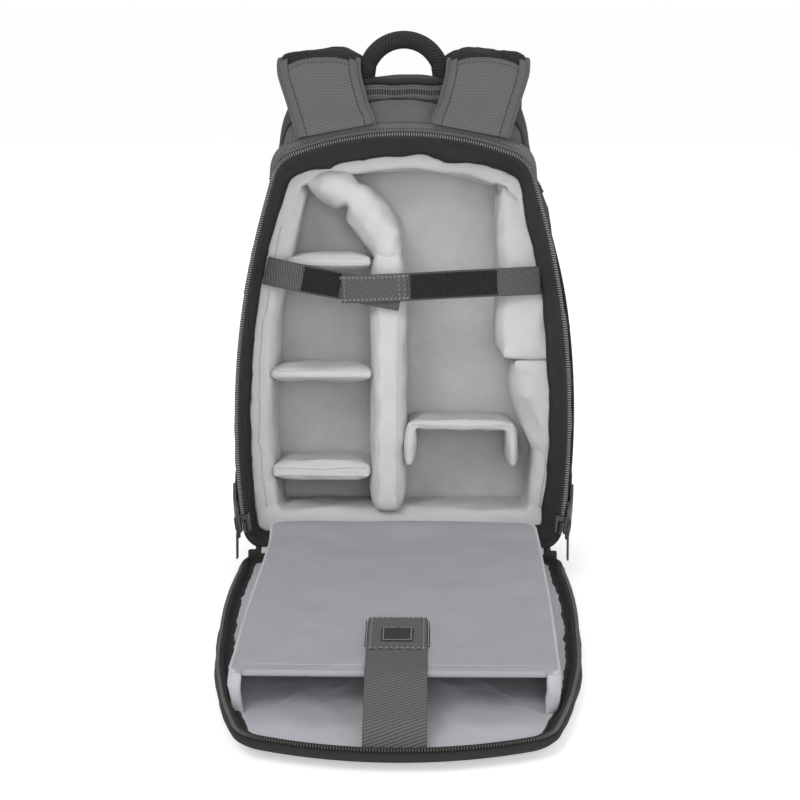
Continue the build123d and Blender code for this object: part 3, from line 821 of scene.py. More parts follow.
def make_front_pocket():
    view = rounded([(0, 4), (122, 4), (112, 334), (-112, 334), (-122, 4)], [0.01, 30, 30, 30, 30], steps=24)
    view = resample(view, 260, closed=True)
    out = normals(view)
    base, face = partition_d(view[:, 1]) + 3, pocket_face_d(view[:, 1])
    rows = []
    for w in np.linspace(0, 1, 18):
        edge = 22 * (1 - math.sqrt(max(1 - max((w - 0.45) / 0.55, 0) ** 2 * 0.985, 0)))
        d = base + (face - base) * math.sin(w * math.pi / 2) ** 0.9
        row = ring(edge - 2.2 * math.sin(math.pi * w), d, view, out)
        row[:, 1] += ripple(row, 80, 21) * 1.1 * w
        rows.append(row)
    rim = rows[-1]
    centre = rim.mean(0)
    for q in np.linspace(0.94, 0.0005, 18):
        row = centre + (rim - centre) * q
        x, s = row[:, 0], row[:, 2]
        swell = np.clip(1 - (x / 108) ** 4, 0, 1) * np.clip(1 - ((s - 169) / 156) ** 4, 0, 1)
        folds = 1.8 + ripple(row, 90, 22) * 0.8 - creases(row, 110, 23) * 1.2
        row[:, 1] = pocket_face_d(s) + swell * folds
        rows.append(row)
    pocket = skin("front_pocket_cover", in_bag(rows), "nylon", "bag", wrap=True, replaces=("front_pocket",))
    line = ring(-0.6, base + 1, view, out)
    tube("front_pocket_piping", in_bag(line), 0.0019, "binding", "bag", closed=True)


def coil_zip(name, path, across, out, body, material="binding", wide=0.022, replaces=(), coil="teeth"):
    """A closed coil zip on its tape."""
    path = np.asarray(path)
    strap(name + "_tape", path, across, wide, 0.0009, material, body, replaces)
    out, across = np.asarray(out, float), np.asarray(across, float)
    for sign in (-1, 1):
        row = path + unit(across) * 0.0011 * sign + unit(out) * 0.0008
        teeth_row(f"{name}_teeth_{'a' if sign < 0 else 'b'}", row, across, out, body,
                  size=SMALL_TOOTH, material=coil)
        seam = path + unit(across) * wide * 0.36 * sign + unit(out) * 0.0006
        stitch(seam, out, body, "thread_dark")


POCKET_ZIP_S = 262.0


def make_small_zips():
    up, back = bag_way([0, 0, 1]), bag_way([0, -1, 0])
    tilt = bag_way([0, 1, 0.15])
    x = np.linspace(-84, 84, 60)
    s = 402.0 + 2.5 * (1 - (x / 84) ** 2) + 0.5 * np.sin(x / 5.0)
    coil_zip("top_zip", in_bag(xds(x, 4.6, s)), up, back, "bag", material="nylon", wide=0.012,
             replaces=("top_zip",), coil="rim")
    for name, rise, radius in (("above", 9.5, 0.0024), ("slit", 1.7, 0.0009)):
        tube(f"top_zip_{name}", in_bag(xds(x, 5.2, s + rise)), radius, "rim", "bag", sides=10)
    on_face = xds(np.linspace(-46, 46, 40), pocket_face_d(POCKET_ZIP_S) + 1.6, POCKET_ZIP_S)
    coil_zip("pocket_zip", in_bag(on_face), up, tilt, "bag", replaces=("pocket_zip",))


def make_side_pocket():
    """Stretch pocket on the right-hand side, its mouth standing off the body."""
    d = np.linspace(44, 130, 44)
    u = (d - 44) / 86
    lift = np.sin(math.pi * u) ** 0.75
    rows = []
    for s in np.linspace(12, 330, 70):
        f = (s - 12) / 318
        stand = 1.6 + 1.6 * math.sin(math.pi * min(f, 1)) ** 0.6 + 7.0 * smooth_step((f - 0.76) / 0.24)
        body_x = np.interp(s, BODY_LINE[:180, 1], BODY_LINE[:180, 0])
        swell = 3.5 * smooth_step((330 - s) / 120) * smooth_step((s + 12) / 60)
        dip = 9.0 * lift * smooth_step((f - 0.9) / 0.1)
        row = xds(body_x + swell * 0.9 + 1.2 + (stand - 1.2) * lift, d, s - dip)
        row[:, 0] += (ripple(row, 70, 31) * 1.0 + creases(row, 80, 32) * 1.2) * lift
        rows.append(row)
    pocket = skin("side_pocket_cover", in_bag(rows), "dark", "bag", thick=0.0014, replaces=("side_pocket",))
    tube("side_pocket_hem", in_bag(rows[-1]), 0.0016, "binding", "bag", flat=1.6)
    for edge in (0, -1):
        line = np.array([r[edge] for r in rows]) + [0.6, 0, 0]
        tube(f"side_pocket_edge_{'rear' if edge == 0 else 'front'}", in_bag(line), 0.0014, "binding", "bag")


# ------------------------------------------------------------------ main zip and facing
def on_zip(inset, depth, low, zip_line=ZIP, zip_out=ZIP_OUT):
    """Open line along the zip, above a height, from the right-hand end round to the left."""
    start = int(np.argmax((ZIP[:, 1] > low) & (ZIP[:, 0] > 0)))
    stop = len(ZIP) - int(np.argmax((ZIP[::-1, 1] > low) & (ZIP[::-1, 0] < 0)))
    line, out = zip_line[start:stop], zip_out[start:stop]
    return ring(inset, depth, line, out), xds(out[:, 0], 0, out[:, 1])


def make_main_zip():
    path, out = on_zip(1.6, 2.4, 14)
    turn = bag_way(out)
    teeth_row("body_zip_teeth", in_bag(path), turn, bag_way([0, -1, 0]), "bag")
    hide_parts("body_zip_chain")
    path, out = on_zip(1.6, -2.4, 34, FLAP_LINE, FLAP_OUT)
    turn = flap_way(out)
    # The back panel's teeth use the darker copy of the coil colour: painted shade.
    teeth_row("flap_zip_teeth", in_flap(path), turn, flap_way([0, 1, 0]), "back_panel",
              material="teeth_painted_shade")
    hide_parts("flap_zip_chain")


FACING = ((3.0, 2.6), (4.0, 2.9), (4.8, 5.0), (5.2, 9), (5.6, 14), (6.0, 17), (6.6, 21), (7.4, 26), (8.6, 31),
          (9.8, 34.6), (10.8, 36.8))


def facing_reach(x, s):
    """Extra reach of the facing inwards: deep under the arch, none down the left-hand side."""
    arch = 6.0 * smooth_step((s - 326) / 34)
    sides = np.where(x < 0, -1.6, 4.0) * smooth_step((330 - s) / 60)
    return arch + sides


def make_facing():
    """Zip tape and dark cloth facing that slant in to the padded insert."""
    rows = []
    for inset, d in FACING:
        row = ring(inset, d)
        free = smooth_step((d - 10) / 18)
        rumple = 1 + 1.4 * smooth_step((ZIP[:, 1] - 330) / 30)
        wave = ripple(row, 90, 41) * 1.0 * free * rumple + creases(row, 70, 43) * 0.7 * free * rumple
        inward = facing_reach(ZIP[:, 0], ZIP[:, 1]) * free + wave
        push(row, ZIP_OUT, -inward)
        row[:, 1] += (ripple(row, 46, 42) * 0.8 - creases(row, 38, 44) * 1.6 * rumple) * free
        rows.append(row)
    skin("edge_facing_cloth", in_bag(rows), "dark", "bag", wrap=True, thick=0.001,
         replaces=("edge_facing", "body_zip_tape"))
    tube("facing_binding", in_bag(rows[-1]), 0.0019, "binding", "bag", closed=True, flat=0.8)
    tube("tape_fold", in_bag(ring(5.7, 15.5)), 0.0008, "binding", "bag", closed=True)
    run = np.vstack([rows[8], rows[8][:1]])
    outward = np.vstack([ZIP_OUT, ZIP_OUT[:1]])
    stitch(in_bag(run), bag_way(xds(-outward[:, 0], -0.6, -outward[:, 1])), "bag", "thread_dark")


# ------------------------------------------------------------------ padded insert
def hold_outside(points):
    """Less swelling where a wall lies against the shell."""
    nearest = np.min(np.linalg.norm(points[:, None, [0, 2]] - ZIP[None, ::6], axis=2), axis=1)
    return 0.12 + 0.88 * smooth_step((nearest - 9) / 9)


def pinch(centre, direction, half=7.0, amount=0.5):
    """A fold in a divider: it narrows across its middle line near one place, in bag-frame mm."""
    centre, direction = np.array(centre, float), unit(direction)
    normal = np.array([-direction[1], direction[0]])

    def shape(world):
        p = from_bag(world)
        rel = p[:, [0, 2]] - centre
        near = np.exp(-((rel @ direction) / half) ** 2) * amount * (np.abs(rel @ normal) < 24)
        squeeze = (rel @ normal) * near
        p[:, 0] -= normal[0] * squeeze
        p[:, 2] -= normal[1] * squeeze
        return in_bag(p)
    return shape


def chained(*shapes):
    def shape(world):
        for one in shapes:
            world = one(world)
        return world
    return shape


def pressed_out(shift, x0, forward=4.0, ends=0.0, middle_s=250.0, half_s=90.0):
    """A side pad pressed against its wall: the far side moves out and the face comes forward."""
    def shape(world):
        p = from_bag(world)
        p[:, 0] += shift * smooth_step((p[:, 0] - x0 - 2) / 14)
        p[:, 1] -= forward * smooth_step((80 - p[:, 1]) / 40)
        p[:, 2] += ends * np.clip((p[:, 2] - middle_s) / half_s, -1, 1)
        return in_bag(p)
    return shape


def behind_straps(world):
    """Nothing swells into the retention straps."""
    p = from_bag(world)
    limit = np.where(p[:, 0] < 2, 35.9, 33.8)
    p[:, 1] = np.where(p[:, 1] < limit + 1.5, limit + 1.5 * np.exp((p[:, 1] - limit - 1.5) / 1.5), p[:, 1])
    return in_bag(p)


def above_ground(world):
    """The open back panel lies on the ground, so nothing swells through it."""
    world = world.copy()
    world[:, 2] = np.maximum(world[:, 2], 0.0004)
    return world


def stretched_up(start, amount):
    """The top end of a divider, drawn out to meet the piece above it."""
    def shape(world):
        p = from_bag(world)
        p[:, 2] += amount * smooth_step((p[:, 2] - start) / 20)
        return in_bag(p)
    return shape


def make_insert():
    pads = [
        pad("insert_padding", [f"insert_wall_{side}" for side in ("left", "right", "top", "bottom")],
            pressure=6.0, cap=0.007, hold=hold_outside, seed=51),
        pad("padding_side_upper", ["side_pad_upper"], pressure=5.0, cap=0.005, seed=61,
            shape=pressed_out(14.0, 89, 4.0, 2.5, 260, 90)),
        pad("padding_side_lower", ["side_pad_lower"], pressure=4.0, cap=0.005, seed=62,
            shape=pressed_out(13.0, 99, 3.0, 2.5, 105, 60)),
        pad("divider_centre", ["center_divider"], pressure=4.0, cap=0.004, seed=63, grow=0.0012,
            shape=stretched_up(232, 11.0)),
        pad("divider_angled", ["angled_divider"], pressure=9.0, cap=0.006, seed=64, grow=0.0044,
            shape=chained(pinch((-46, 318), (-0.87, 0.45), 4.5, 0.30),
                          pinch((-17, 270), (-0.3, 1), 4.5, 0.18))),
        pad("shelf_pad_upper", ["shelf_left_upper"], cap=0.004, seed=65),
        pad("shelf_pad_middle", ["shelf_left_middle"], "middle_shelf", cap=0.004, seed=66),
        pad("shelf_pad_lower", ["shelf_left_lower"], "lower_shelf", cap=0.004, seed=67),
        pad("shelf_pad_right", ["shelf_right"], "right_shelf", cap=0.0025, voxel=0.0035, pressure=3.0,
            fill=0.4, seed=68),
        pad("back_panel_pads", ["back_pads"], "back_panel", "mesh", pressure=4.0, cap=0.003, voxel=0.0038,
            seed=69, grow=0.0018, shape=above_ground),
    ]
    fill_pads(pads)
    rows = closing(ring(8, 0), 26, lambda x, s: partition_d(s) - 8.6)
    rows = [xds(r[:, 0], r[:, 1] + ripple(r, 60, 71) * 0.7, r[:, 2]) for r in rows]
    back = skin("insert_back_lining", in_bag(rows), "lining", "bag", wrap=True, thick=0.002,
                replaces=("insert_back",))
    return {p["obj"].name: p["obj"] for p in pads}


def seam_insert(pads):
    """Raised seams along the edges of the dividers and walls."""
    for name, x in (("a", -24.5), ("b", -3.5)):
        line = in_bag([(x, 38, 28), (x, 38, 252)])
        seam_on(f"divider_centre_seam_{name}", pads["divider_centre"], line, "bag", "lining")
    for name, s in (("upper", 256), ("middle", 154), ("lower", 65)):
        body = {"upper": "bag", "middle": "middle_shelf", "lower": "lower_shelf"}[name]
        for side in (-1, 1):
            line = in_bag([(-118, 40, s + 4.6 * side), (-30, 40, s + 4.6 * side)])
            edge = "low" if side < 0 else "high"
            seam_on(f"shelf_{name}_seam_{edge}", pads[f"shelf_pad_{name}"], line, body, "lining", 0.0006)
    line = in_bag([(6, 40, 107.5), (100, 40, 107.5)])
    seam_on("shelf_right_seam", pads["shelf_pad_right"], line, "right_shelf", "lining", 0.0006,
            "thread_light")
    for side, sign in (("left", -1), ("right", 1)):
        s = np.linspace(30, 290, 90)
        edge = in_bag(xds(sign * (side_x(s) - 21.5), 37, s))
        seam_on(f"insert_seam_{side}", pads["insert_padding"], edge, "bag", "lining")


# ------------------------------------------------------------------ retention straps
def retention(name, x0, x1, d, s, drop, body, node, patch, patch_material, seed):
    """A webbing strap across the opening with its tape patch; it hangs very slightly."""
    n = 70
    t = np.linspace(0, 1, n)
    x = x0 + (x1 - x0) * t
    sway = 1.0 * np.sin(math.pi * t) + 0.4 * np.sin(7 * t + seed)
    path = in_bag(xds(x, d - 0.8 * np.sin(math.pi * t), s - drop * t - sway))
    up = bag_way([0, 0, 1])
    out = bag_way([0, -1, 0])
    run = unit(path[-1] - path[0])
    across = unit(up - run * (run @ up))
    wall = np.clip(np.arange(n) / 8.0, 0, 1)[:, None]
    strap(name, path, across * wall + up * (1 - wall), 0.0252, 0.0018, "webbing", body, (node,))
    a, b = int(patch[0] * n), int(patch[1] * n)
    part = path[a:b] + out * 0.0013
    strap(name + "_tape", part, across, 0.0222, 0.0011, patch_material, body)
    for sign in (-1, 1):
        stitch(part + across * 0.0101 * sign + out * 0.0006, out, body, "thread_dark")
    return path, across, out


def make_retention():
    retention("retention_left_webbing", -124, -2.3, 34.4, 248.5, 23.7, "retention_left",
              "retention_strap_left", (0.274, 0.56), "hook", 0.4)
    path, across, out = retention("retention_right_webbing", 123, -55.8, 32.2, 240.5, 8.7, "retention_right",
                                  "retention_strap_right", (0.218, 0.67), "loop", 1.9)
    end = path[-24:] + out * 0.0011
    strap("retention_right_fold", end, across, 0.0248, 0.0014, "webbing", "retention_right")
    for sign in (-1, 1):
        stitch(end + across * 0.0104 * sign + out * 0.0008, out, "retention_right")
        stitch(end + across * 0.0092 * sign + out * 0.0008, out, "retention_right")
    for at in (1, 3, -2):
        across_row = np.array([end[at] + across * w for w in np.linspace(-0.0104, 0.0104, 12)]) + out * 0.0008
        stitch(across_row, out, "retention_right")


# ------------------------------------------------------------------ shoulder straps, handle
STRAP_PATH = [(-7.5, 366), (-7.5, 432.5), (128, 432.5), (163, 431), (167.5, 300), (190, 150), (190.6, 141)]


def shoulder_path(count=190):
    path = rounded(STRAP_PATH, [0, 22, 60, 31, 150, 40, 0], closed=False, steps=16)
    return resample(path, count)


def puffed(run, u):
    """Extra filling of the strap where it turns over the top, most on its inner half."""
    return 9.5 * math.exp(-((run - 98) / 26) ** 2) * np.clip(1 - np.abs(u) ** 4, 0, 1) * (0.55 - 0.45 * u)


def strap_wave(points, sign):
    return ripple(points, 48, 81 + sign) * 0.7 + creases(points, 40, 83 + sign) * 0.8


def slanted(run, u):
    """The strap's sewn end follows the arch: its inner corner is the higher one."""
    rise = (4.0 - 6.0 * np.asarray(u, float)) * (1 - smooth_step(run / 30))
    return np.stack([0 * rise, rise], -1)


def make_shoulder_strap(sign, side):
    path = shoulder_path()
    n = len(path)
    run = np.concatenate([[0], np.cumsum(np.linalg.norm(np.diff(path, axis=0), axis=1))])
    total = run[-1]
    marks = [0, 6, 54, 98, 108, 148, 176, 190, 240, 262, 300, 440, 492, total - 6, total]
    inner = [26.5, 27, 40, 40.5, 31, 31, 41, 41, 41, 42, 42, 45, 47, 57, 58]
    outer = [90, 91.5, 107, 109, 109, 109, 109, 109, 109, 109, 109, 98, 93, 83, 82]
    x0, x1 = np.interp(run, marks, inner), np.interp(run, marks, outer)
    for _ in range(6):
        for x in (x0, x1):
            x[1:-1] = (x[:-2] + x[1:-1] * 2 + x[2:]) / 4
    outward = unit(np.gradient(path, axis=0))[:, ::-1] * [-1, 1]
    thick = 3.2 + 9.8 * smooth_step((run - 4) / 38) * smooth_step((total - run) / 60 + 0.05)
    u = np.linspace(-1, 1, 25)
    lens = (1 - np.abs(u) ** 5) ** 0.55
    edge, both, faces = 1.5, np.concatenate([lens, lens]), np.repeat([1.0, -1.0], len(u))
    rows = []
    for i in range(n):
        x = (x0[i] + x1[i]) / 2 + u * (x1[i] - x0[i]) / 2
        high = edge + (thick[i] / 2 - edge) * lens
        start_edge = slanted(run[i], u)
        top = path[i] + outward[i] * (high + puffed(run[i], u))[:, None] + start_edge
        low = path[i] - outward[i] * high[:, None] + start_edge
        row = np.column_stack([sign * np.concatenate([x, x[::-1]]), np.concatenate([top, low[::-1]])])
        wave = strap_wave(row, sign) * both
        row[:, 1] += outward[i][0] * wave * faces
        row[:, 2] += outward[i][1] * wave * faces
        rows.append(row)
    if sign < 0:
        rows = [r[::-1] for r in rows]
    world = in_bag(rows)
    piece = skin(f"shoulder_strap_{side}", world, "mesh", wrap=True, caps=True,
                 replaces=(f"strap_upper_{side}", f"strap_lower_{side}"))
    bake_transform(piece)

    def over(t0, t1, u0, u1, lift, name, material, arc=0.0, count=40, wide=22):
        """A layer of cloth laid on the strap between run t0..t1 and across u0..u1."""
        lay = []
        for uu in np.linspace(u0, u1, wide):
            ts = np.linspace(t0, t1 + arc * (1 - (abs(uu + 0.15) / 1.15) ** 2.4), count)
            px, pd, ps = [], [], []
            for t in ts:
                i = np.interp(t, run, np.arange(n))
                k, f = int(min(i, n - 2)), i - int(min(i, n - 2))
                c = path[k] * (1 - f) + path[k + 1] * f
                o = unit(outward[k] * (1 - f) + outward[k + 1] * f)
                a, b, th = np.interp(t, run, x0), np.interp(t, run, x1), np.interp(t, run, thick)
                h = edge + (th / 2 - edge) * max(1 - abs(uu) ** 5, 0) ** 0.55 + lift + float(puffed(t, uu))
                q = c + o * h + slanted(t, uu)
                px.append(sign * ((a + b) / 2 + uu * (b - a) / 2))
                pd.append(q[0])
                ps.append(q[1])
            lay.append(np.stack([px, pd, ps], -1))
        lay = np.array(lay)
        fade = np.clip(1 - np.abs(np.linspace(u0, u1, wide))[:, None] ** 5, 0, 1) ** 0.55
        lay[..., 1] += -strap_wave(lay, sign) * fade * 0.9
        made = skin(name, in_bag(lay), material, thick=0.0012)
        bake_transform(made)
        return in_bag(lay)

    patch = over(0, 52, -0.97, 0.97, 1.0, f"strap_patch_{side}", "twill", arc=10)
    cap_out, out = bag_way([0, -0.8, 0.6]), bag_way([0, -1, 0])
    tube(f"strap_patch_seam_{side}", patch[:, -1], 0.0011, "twill", "bag", sides=8)
    stitch(patch[:, -3] + cap_out * 0.0008, cap_out, "bag", "thread_dark")
    for k in (2, -3):
        stitch(patch[k] + out * 0.0008, out, "bag", "thread_dark")
    for edge_name, uu in (("in", -1.0), ("out", 1.0)):
        line = []
        for i in range(n):
            xx = (x0[i] + x1[i]) / 2 + uu * (x1[i] - x0[i]) / 2
            rise = slanted(run[i], uu)[..., 1]
            line.append((sign * xx, path[i][0], path[i][1] + float(rise)))
        binding = tube(f"strap_binding_{edge_name}_{side}", in_bag(line), 0.0031, "nylon", sides=10, flat=1.0)
        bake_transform(binding)
        wide_u = (-1.0, -0.80) if uu < 0 else (0.80, 1.0)
        over(0, 62, *wide_u, 1.9, f"strap_edge_{edge_name}_{side}", "nylon", wide=7)
    for above, material in ((1.6, "thread_dark"), (4.2, "thread")):
        a, b = in_bag([(sign * 27.5, -2.8, 374.5 + above), (sign * 89.0, -2.8, 362.5 + above)]) + out * 0.0012
        zigzag(a, b, out, "bag", material)


def make_handle():
    rise, half = 23.0, 32.0
    radius = (half**2 + rise**2) / (2 * rise)
    low = math.asin((radius - rise) / radius)
    angle = np.linspace(low - 0.06, math.pi - low + 0.06, 110)
    line = xds(radius * np.cos(angle), 25, 429 + rise - radius + radius * np.sin(angle))
    ends = np.minimum(np.arange(110), np.arange(110)[::-1])
    thick = 0.0078 - 0.0012 * np.exp(-ends / 4.0)
    handle = tube("carry_handle_webbing", in_bag(line), thick, "handle", "handle", sides=26,
                  replaces=("carry_handle",), start=(0, 1, 0))
    for sign in (-1, 1):
        foot = np.array([(31.8, 25, 430.5), (33.0, 25, 425), (33.8, 25, 419), (34.4, 25, 412)])
        foot = resample(foot, 24) * [sign, 1, 1]
        radii = np.interp(np.linspace(0, 1, 24), [0, 0.15, 0.6, 1], [0.0077, 0.0082, 0.0084, 0.0086])
        tube(f"handle_cuff_{'left' if sign < 0 else 'right'}", in_bag(foot), radii, "handle", "bag",
             sides=20, start=(0, 1, 0))


def make_lower_webbing(sign, side):
    """Adjusting webbing from the ladder lock round to the bottom corner."""
    path = [(72, 194.0, 124), (90, 193.5, 107), (128, 192, 95), (156, 148, 84), (155, 70, 49),
            (151.5, 30, 29), (147.5, 12, 21)]
    line = resample(rounded(path, [0, 30, 26, 26, 60, 60, 0], closed=False, steps=12), 90)
    line[:, 0] *= sign
    t = np.linspace(0, 1, len(line))[:, None]
    tilt = unit(np.array([0.25 * sign, 0, 1.0]) * (1 - t) + np.array([0, -0.42, 0.9]) * t)
    tilt_world = bag_way(tilt)
    wide = 0.0245 - 0.0015 * np.sin(np.linspace(0, math.pi, len(line)))
    webbing = strap(f"lower_webbing_cloth_{side}", in_bag(line), tilt_world, wide, 0.0016, "webbing",
                    replaces=(f"lower_webbing_{side}",))
    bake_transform(webbing)
    tip = line[-16:]
    strap(f"webbing_anchor_cloth_{side}", in_bag(tip + [sign * 0.5, 0, 0]), tilt_world[-16:], 0.031, 0.0034,
          "nylon", "bag")
    a, b = in_bag(tip[2] + [(sign * 2.5, 3, 11), (sign * 2.5, -3, -9)])
    zigzag(a, b, bag_way([sign, 0, 0]), "bag")
    loop = [(191, 152), (194.6, 143), (195.6, 138.5), (193.2, 136.5), (190.6, 139), (188.8, 150)]
    loop = np.column_stack([np.full(len(loop), 70.0 * sign), loop])
    strap(f"lock_loop_{side}", in_bag(resample(loop, 30)), bag_way([1, 0, 0]), 0.0245, 0.0016, "webbing",
          f"strap_{side}")


# ------------------------------------------------------------------ back panel
def shallow_end(row):
    """The back panel's edge grows thinner towards its free end."""
    row = row.copy()
    row[:, 1] = -4 + (row[:, 1] + 4) * (1 - 0.42 * smooth_step((row[:, 2] - 240) / 100))
    return row


EDGE_PROFILE = ((3.6, -4.2), (2.0, -4.3), (0.4, -4.9), (-1.0, -7.2), (-1.6, -10.0), (-1.2, -13.0),
                (0.6, -15.2), (3.6, -16.2), (8.0, -16.4))
RIM_PROFILE = ((3.2, -4.0), (4.0, -2.4), (5.0, -2.6), (5.8, -4.4), (6.8, -6.4), (8.2, -7.6), (10.6, -8.1))


def make_flap():
    """Back panel: outer cover, dark rim with its zip tape, and lining."""
    rows = []
    for inset, d in EDGE_PROFILE:
        row = ring(inset, d, FLAP_LINE, FLAP_OUT)
        row = shallow_end(row)
        push(row, FLAP_OUT, ripple(row, 80, 91) * 0.7 * (-15 < d < -5))
        rows.append(row)
    under = closing(rows[-1], 22, None)[1:]
    for r in under:
        r[:, 1] += ripple(r, 70, 92) * 0.3
    cover = skin("back_panel_cover", in_flap(rows + under), "rim", "back_panel", wrap=True,
                 replaces=("flap_outer_panel", "flap_rim", "flap_stiffener"))
    rim = []
    for inset, d in RIM_PROFILE:
        row = ring(inset, d, FLAP_LINE, FLAP_OUT)
        push(row, FLAP_OUT, -(ripple(row, 36, 93) * 0.9 * smooth_step((inset - 5) / 4)))
        rim.append(row)
    skin("flap_rim_facing", in_flap(rim), "rim", "back_panel", wrap=True, thick=0.0009,
         replaces=("flap_zip_tape",))
    tube("flap_rim_binding", in_flap(rim[-1] + [0, 0.3, 0]), 0.0013, "binding", "back_panel", closed=True)
    rows = closing(ring(9.0, -8.4, FLAP_LINE, FLAP_OUT), 34)
    for r in rows:
        q = 1 - np.linalg.norm(r - rows[0], axis=1) / 60
        r[:, 1] = -8.4 + (ripple(r, 60, 94) * 0.9 + creases(r, 70, 95) * 0.9) * smooth_step(1.2 - q)
    # The lining uses the lighter satin copy: painted light on a shaded surface.
    skin("flap_lining_cloth", in_flap(rows), "flap_lining", "back_panel", wrap=True, thick=0.001,
         replaces=("flap_lining",))
    line = ring(13.5, -7.7, FLAP_LINE, FLAP_OUT)
    stitch(in_flap(np.vstack([line, line[:1]])), flap_way([0, 1, 0]), "back_panel", "thread_light")
    line = shallow_end(ring(3.2, -16.3, FLAP_LINE, FLAP_OUT))
    tube("flap_panel_piping", in_flap(line), 0.0015, "binding", "back_panel", closed=True)


def sleeve_half(f):
    """Half-width of the sleeve: it spreads a little towards its mouth."""
    return 116.0 + 3.2 * smooth_step((np.asarray(f) - 10) / 200)


SLEEVE_F0, SLEEVE_F1 = 3.0, 303.0


def sleeve_plan(u, v):
    """Place on the sleeve panel, u across and v along, -1 to 1, with rounded corners."""
    f = (SLEEVE_F0 + SLEEVE_F1) / 2 + v * (SLEEVE_F1 - SLEEVE_F0) / 2
    trim = 9.0 * np.clip((np.abs(v) - 0.93) / 0.07, 0, 1) ** 3
    bow = 0.8 * (1 - u**2) * np.clip(v, 0, 1) ** 6
    aside = 3.2 * (1 - f / 205) * smooth_step((f + 10) / 60)
    return u * (sleeve_half(f) - trim) + aside, f + bow


def sleeve_rise(f):
    """The sleeve lifts a little near the hinge and at its mouth."""
    return 5.0 * smooth_step((46 - np.asarray(f)) / 44) + 1.8 * smooth_step((np.asarray(f) - 262) / 42)


def sleeve_edge(down, across):
    """Plan of three sides of the sleeve: down the left, across the hinge end and up the right."""
    left, right = np.full(len(down), -1.0), np.full(len(down), 1.0)
    u = np.concatenate([left, across, right])
    v = np.concatenate([down, np.full(len(across), -1.0), down[::-1]])
    return sleeve_plan(u, v)


def make_sleeve():
    """Soft panel over the laptop compartment, with its piping and bound mouth."""
    nu, nv = 61, 91
    us, vs = np.sin(np.linspace(-1, 1, nu) * math.pi / 2), np.sin(np.linspace(-1, 1, nv) * math.pi / 2)
    uu, vv = np.meshgrid(us, vs)
    x, f = sleeve_plan(uu, vv)
    fall = (1 - np.abs(uu) ** 8) ** 0.5 * (1 - np.abs(vv) ** 14) ** 0.5
    flat = xds(x, 0, f)
    folds = ripple(flat, 120, 101) * 1.2 + creases(flat, 130, 102) * 0.9
    folds += creases(flat + 50, 90, 103) * 0.6
    folds *= 1 - np.exp(-((x / 38) ** 4 + ((f - 238) / 44) ** 4))
    top = 22.4 + 4.4 * fall + folds * fall + sleeve_rise(f)
    low = 20.6 - 0.8 * fall + sleeve_rise(f)
    rows = np.concatenate([xds(x, top, f), xds(x, low, f)[:, ::-1]], 1)
    panel = skin("laptop_sleeve_panel", in_flap(rows), "panel", "back_panel", wrap=True, caps=True,
                 replaces=("sleeve_panel",))
    x, f = sleeve_edge(np.linspace(0.985, -0.985, 90), np.linspace(-0.985, 0.985, 70))
    # The piping uses the lighter satin copy: painted light.
    tube("sleeve_piping", in_flap(resample(xds(x, 22.2 + sleeve_rise(f), f), 260)), 0.0015, "flap_lining",
         "back_panel", sides=10)
    x, f = sleeve_plan(np.linspace(-0.99, 0.99, 80), 1.0)
    tube("sleeve_mouth_binding", in_flap(xds(x, 23.4 + sleeve_rise(f), f + 0.4)), 0.0028, "panel",
         "back_panel", sides=10, flat=0.8)
    row = xds(x, 26.4 + sleeve_rise(f), f - 7.0)[4:-4]
    stitch(in_flap(row), flap_way([0, 1, 0]), "back_panel", "thread_light")


def make_sleeve_gusset():
    """Side and end walls of the sleeve, open at the far end."""
    gusset = []
    foot = sleeve_edge(np.linspace(1, -0.97, 80), np.linspace(-0.96, 0.96, 60))
    foot = resample(np.stack(foot, -1), 230)
    side = unit(np.stack([np.gradient(foot[:, 1]), -np.gradient(foot[:, 0])], -1))
    for h in np.linspace(0, 1, 12):
        d = -8.6 + h * (30.4 + sleeve_rise(foot[:, 1]))
        lean = 1.5 * math.sin(math.pi * h) - 1.0 * (1 - h)
        row = xds(foot[:, 0] + side[:, 0] * lean, d, foot[:, 1] + side[:, 1] * lean)
        push(row, side, (ripple(row, 34, 105) * 0.9 + creases(row, 40, 106) * 1.1) * math.sin(math.pi * h))
        gusset.append(row)
    # The sleeve walls use the lighter satin copy: painted light on shaded walls.
    walls = skin("laptop_sleeve_gusset", in_flap(gusset), "flap_lining", "back_panel", thick=0.0022,
                 replaces=("sleeve_gusset",))
    foot_line = gusset[0].copy()
    foot_line[:, 1] += 0.9
    tube("sleeve_foot_seam", in_flap(foot_line), 0.0012, "panel", "back_panel")


def sewn_patch(name, half, low, high, layers, material, body, node, inset, thread, tilt=0.0):
    """A small rectangle of tape on the sleeve, built up in layers (inset, d), stitched round."""
    corners = [(0, low), (half, low), (half, high), (-half, high), (-half, low)]
    line = rounded(corners, [0.01, 2, 2, 2, 2], steps=6)
    line = resample(line, 80, closed=True)
    lie = tilt * (line[:, 1] - 216)
    rows = [ring(i, d + lie, line, normals(line)) for i, d in layers]
    rows += closing(rows[-1], 6)[1:]
    skin(name, in_flap(rows), material, body, wrap=True, replaces=(node,))
    seam = ring(inset, layers[-1][1] + lie, line, normals(line))
    stitch(in_flap(np.vstack([seam, seam[:1]])), flap_way([0, 1, 0]), body, thread, pitch=0.0026)


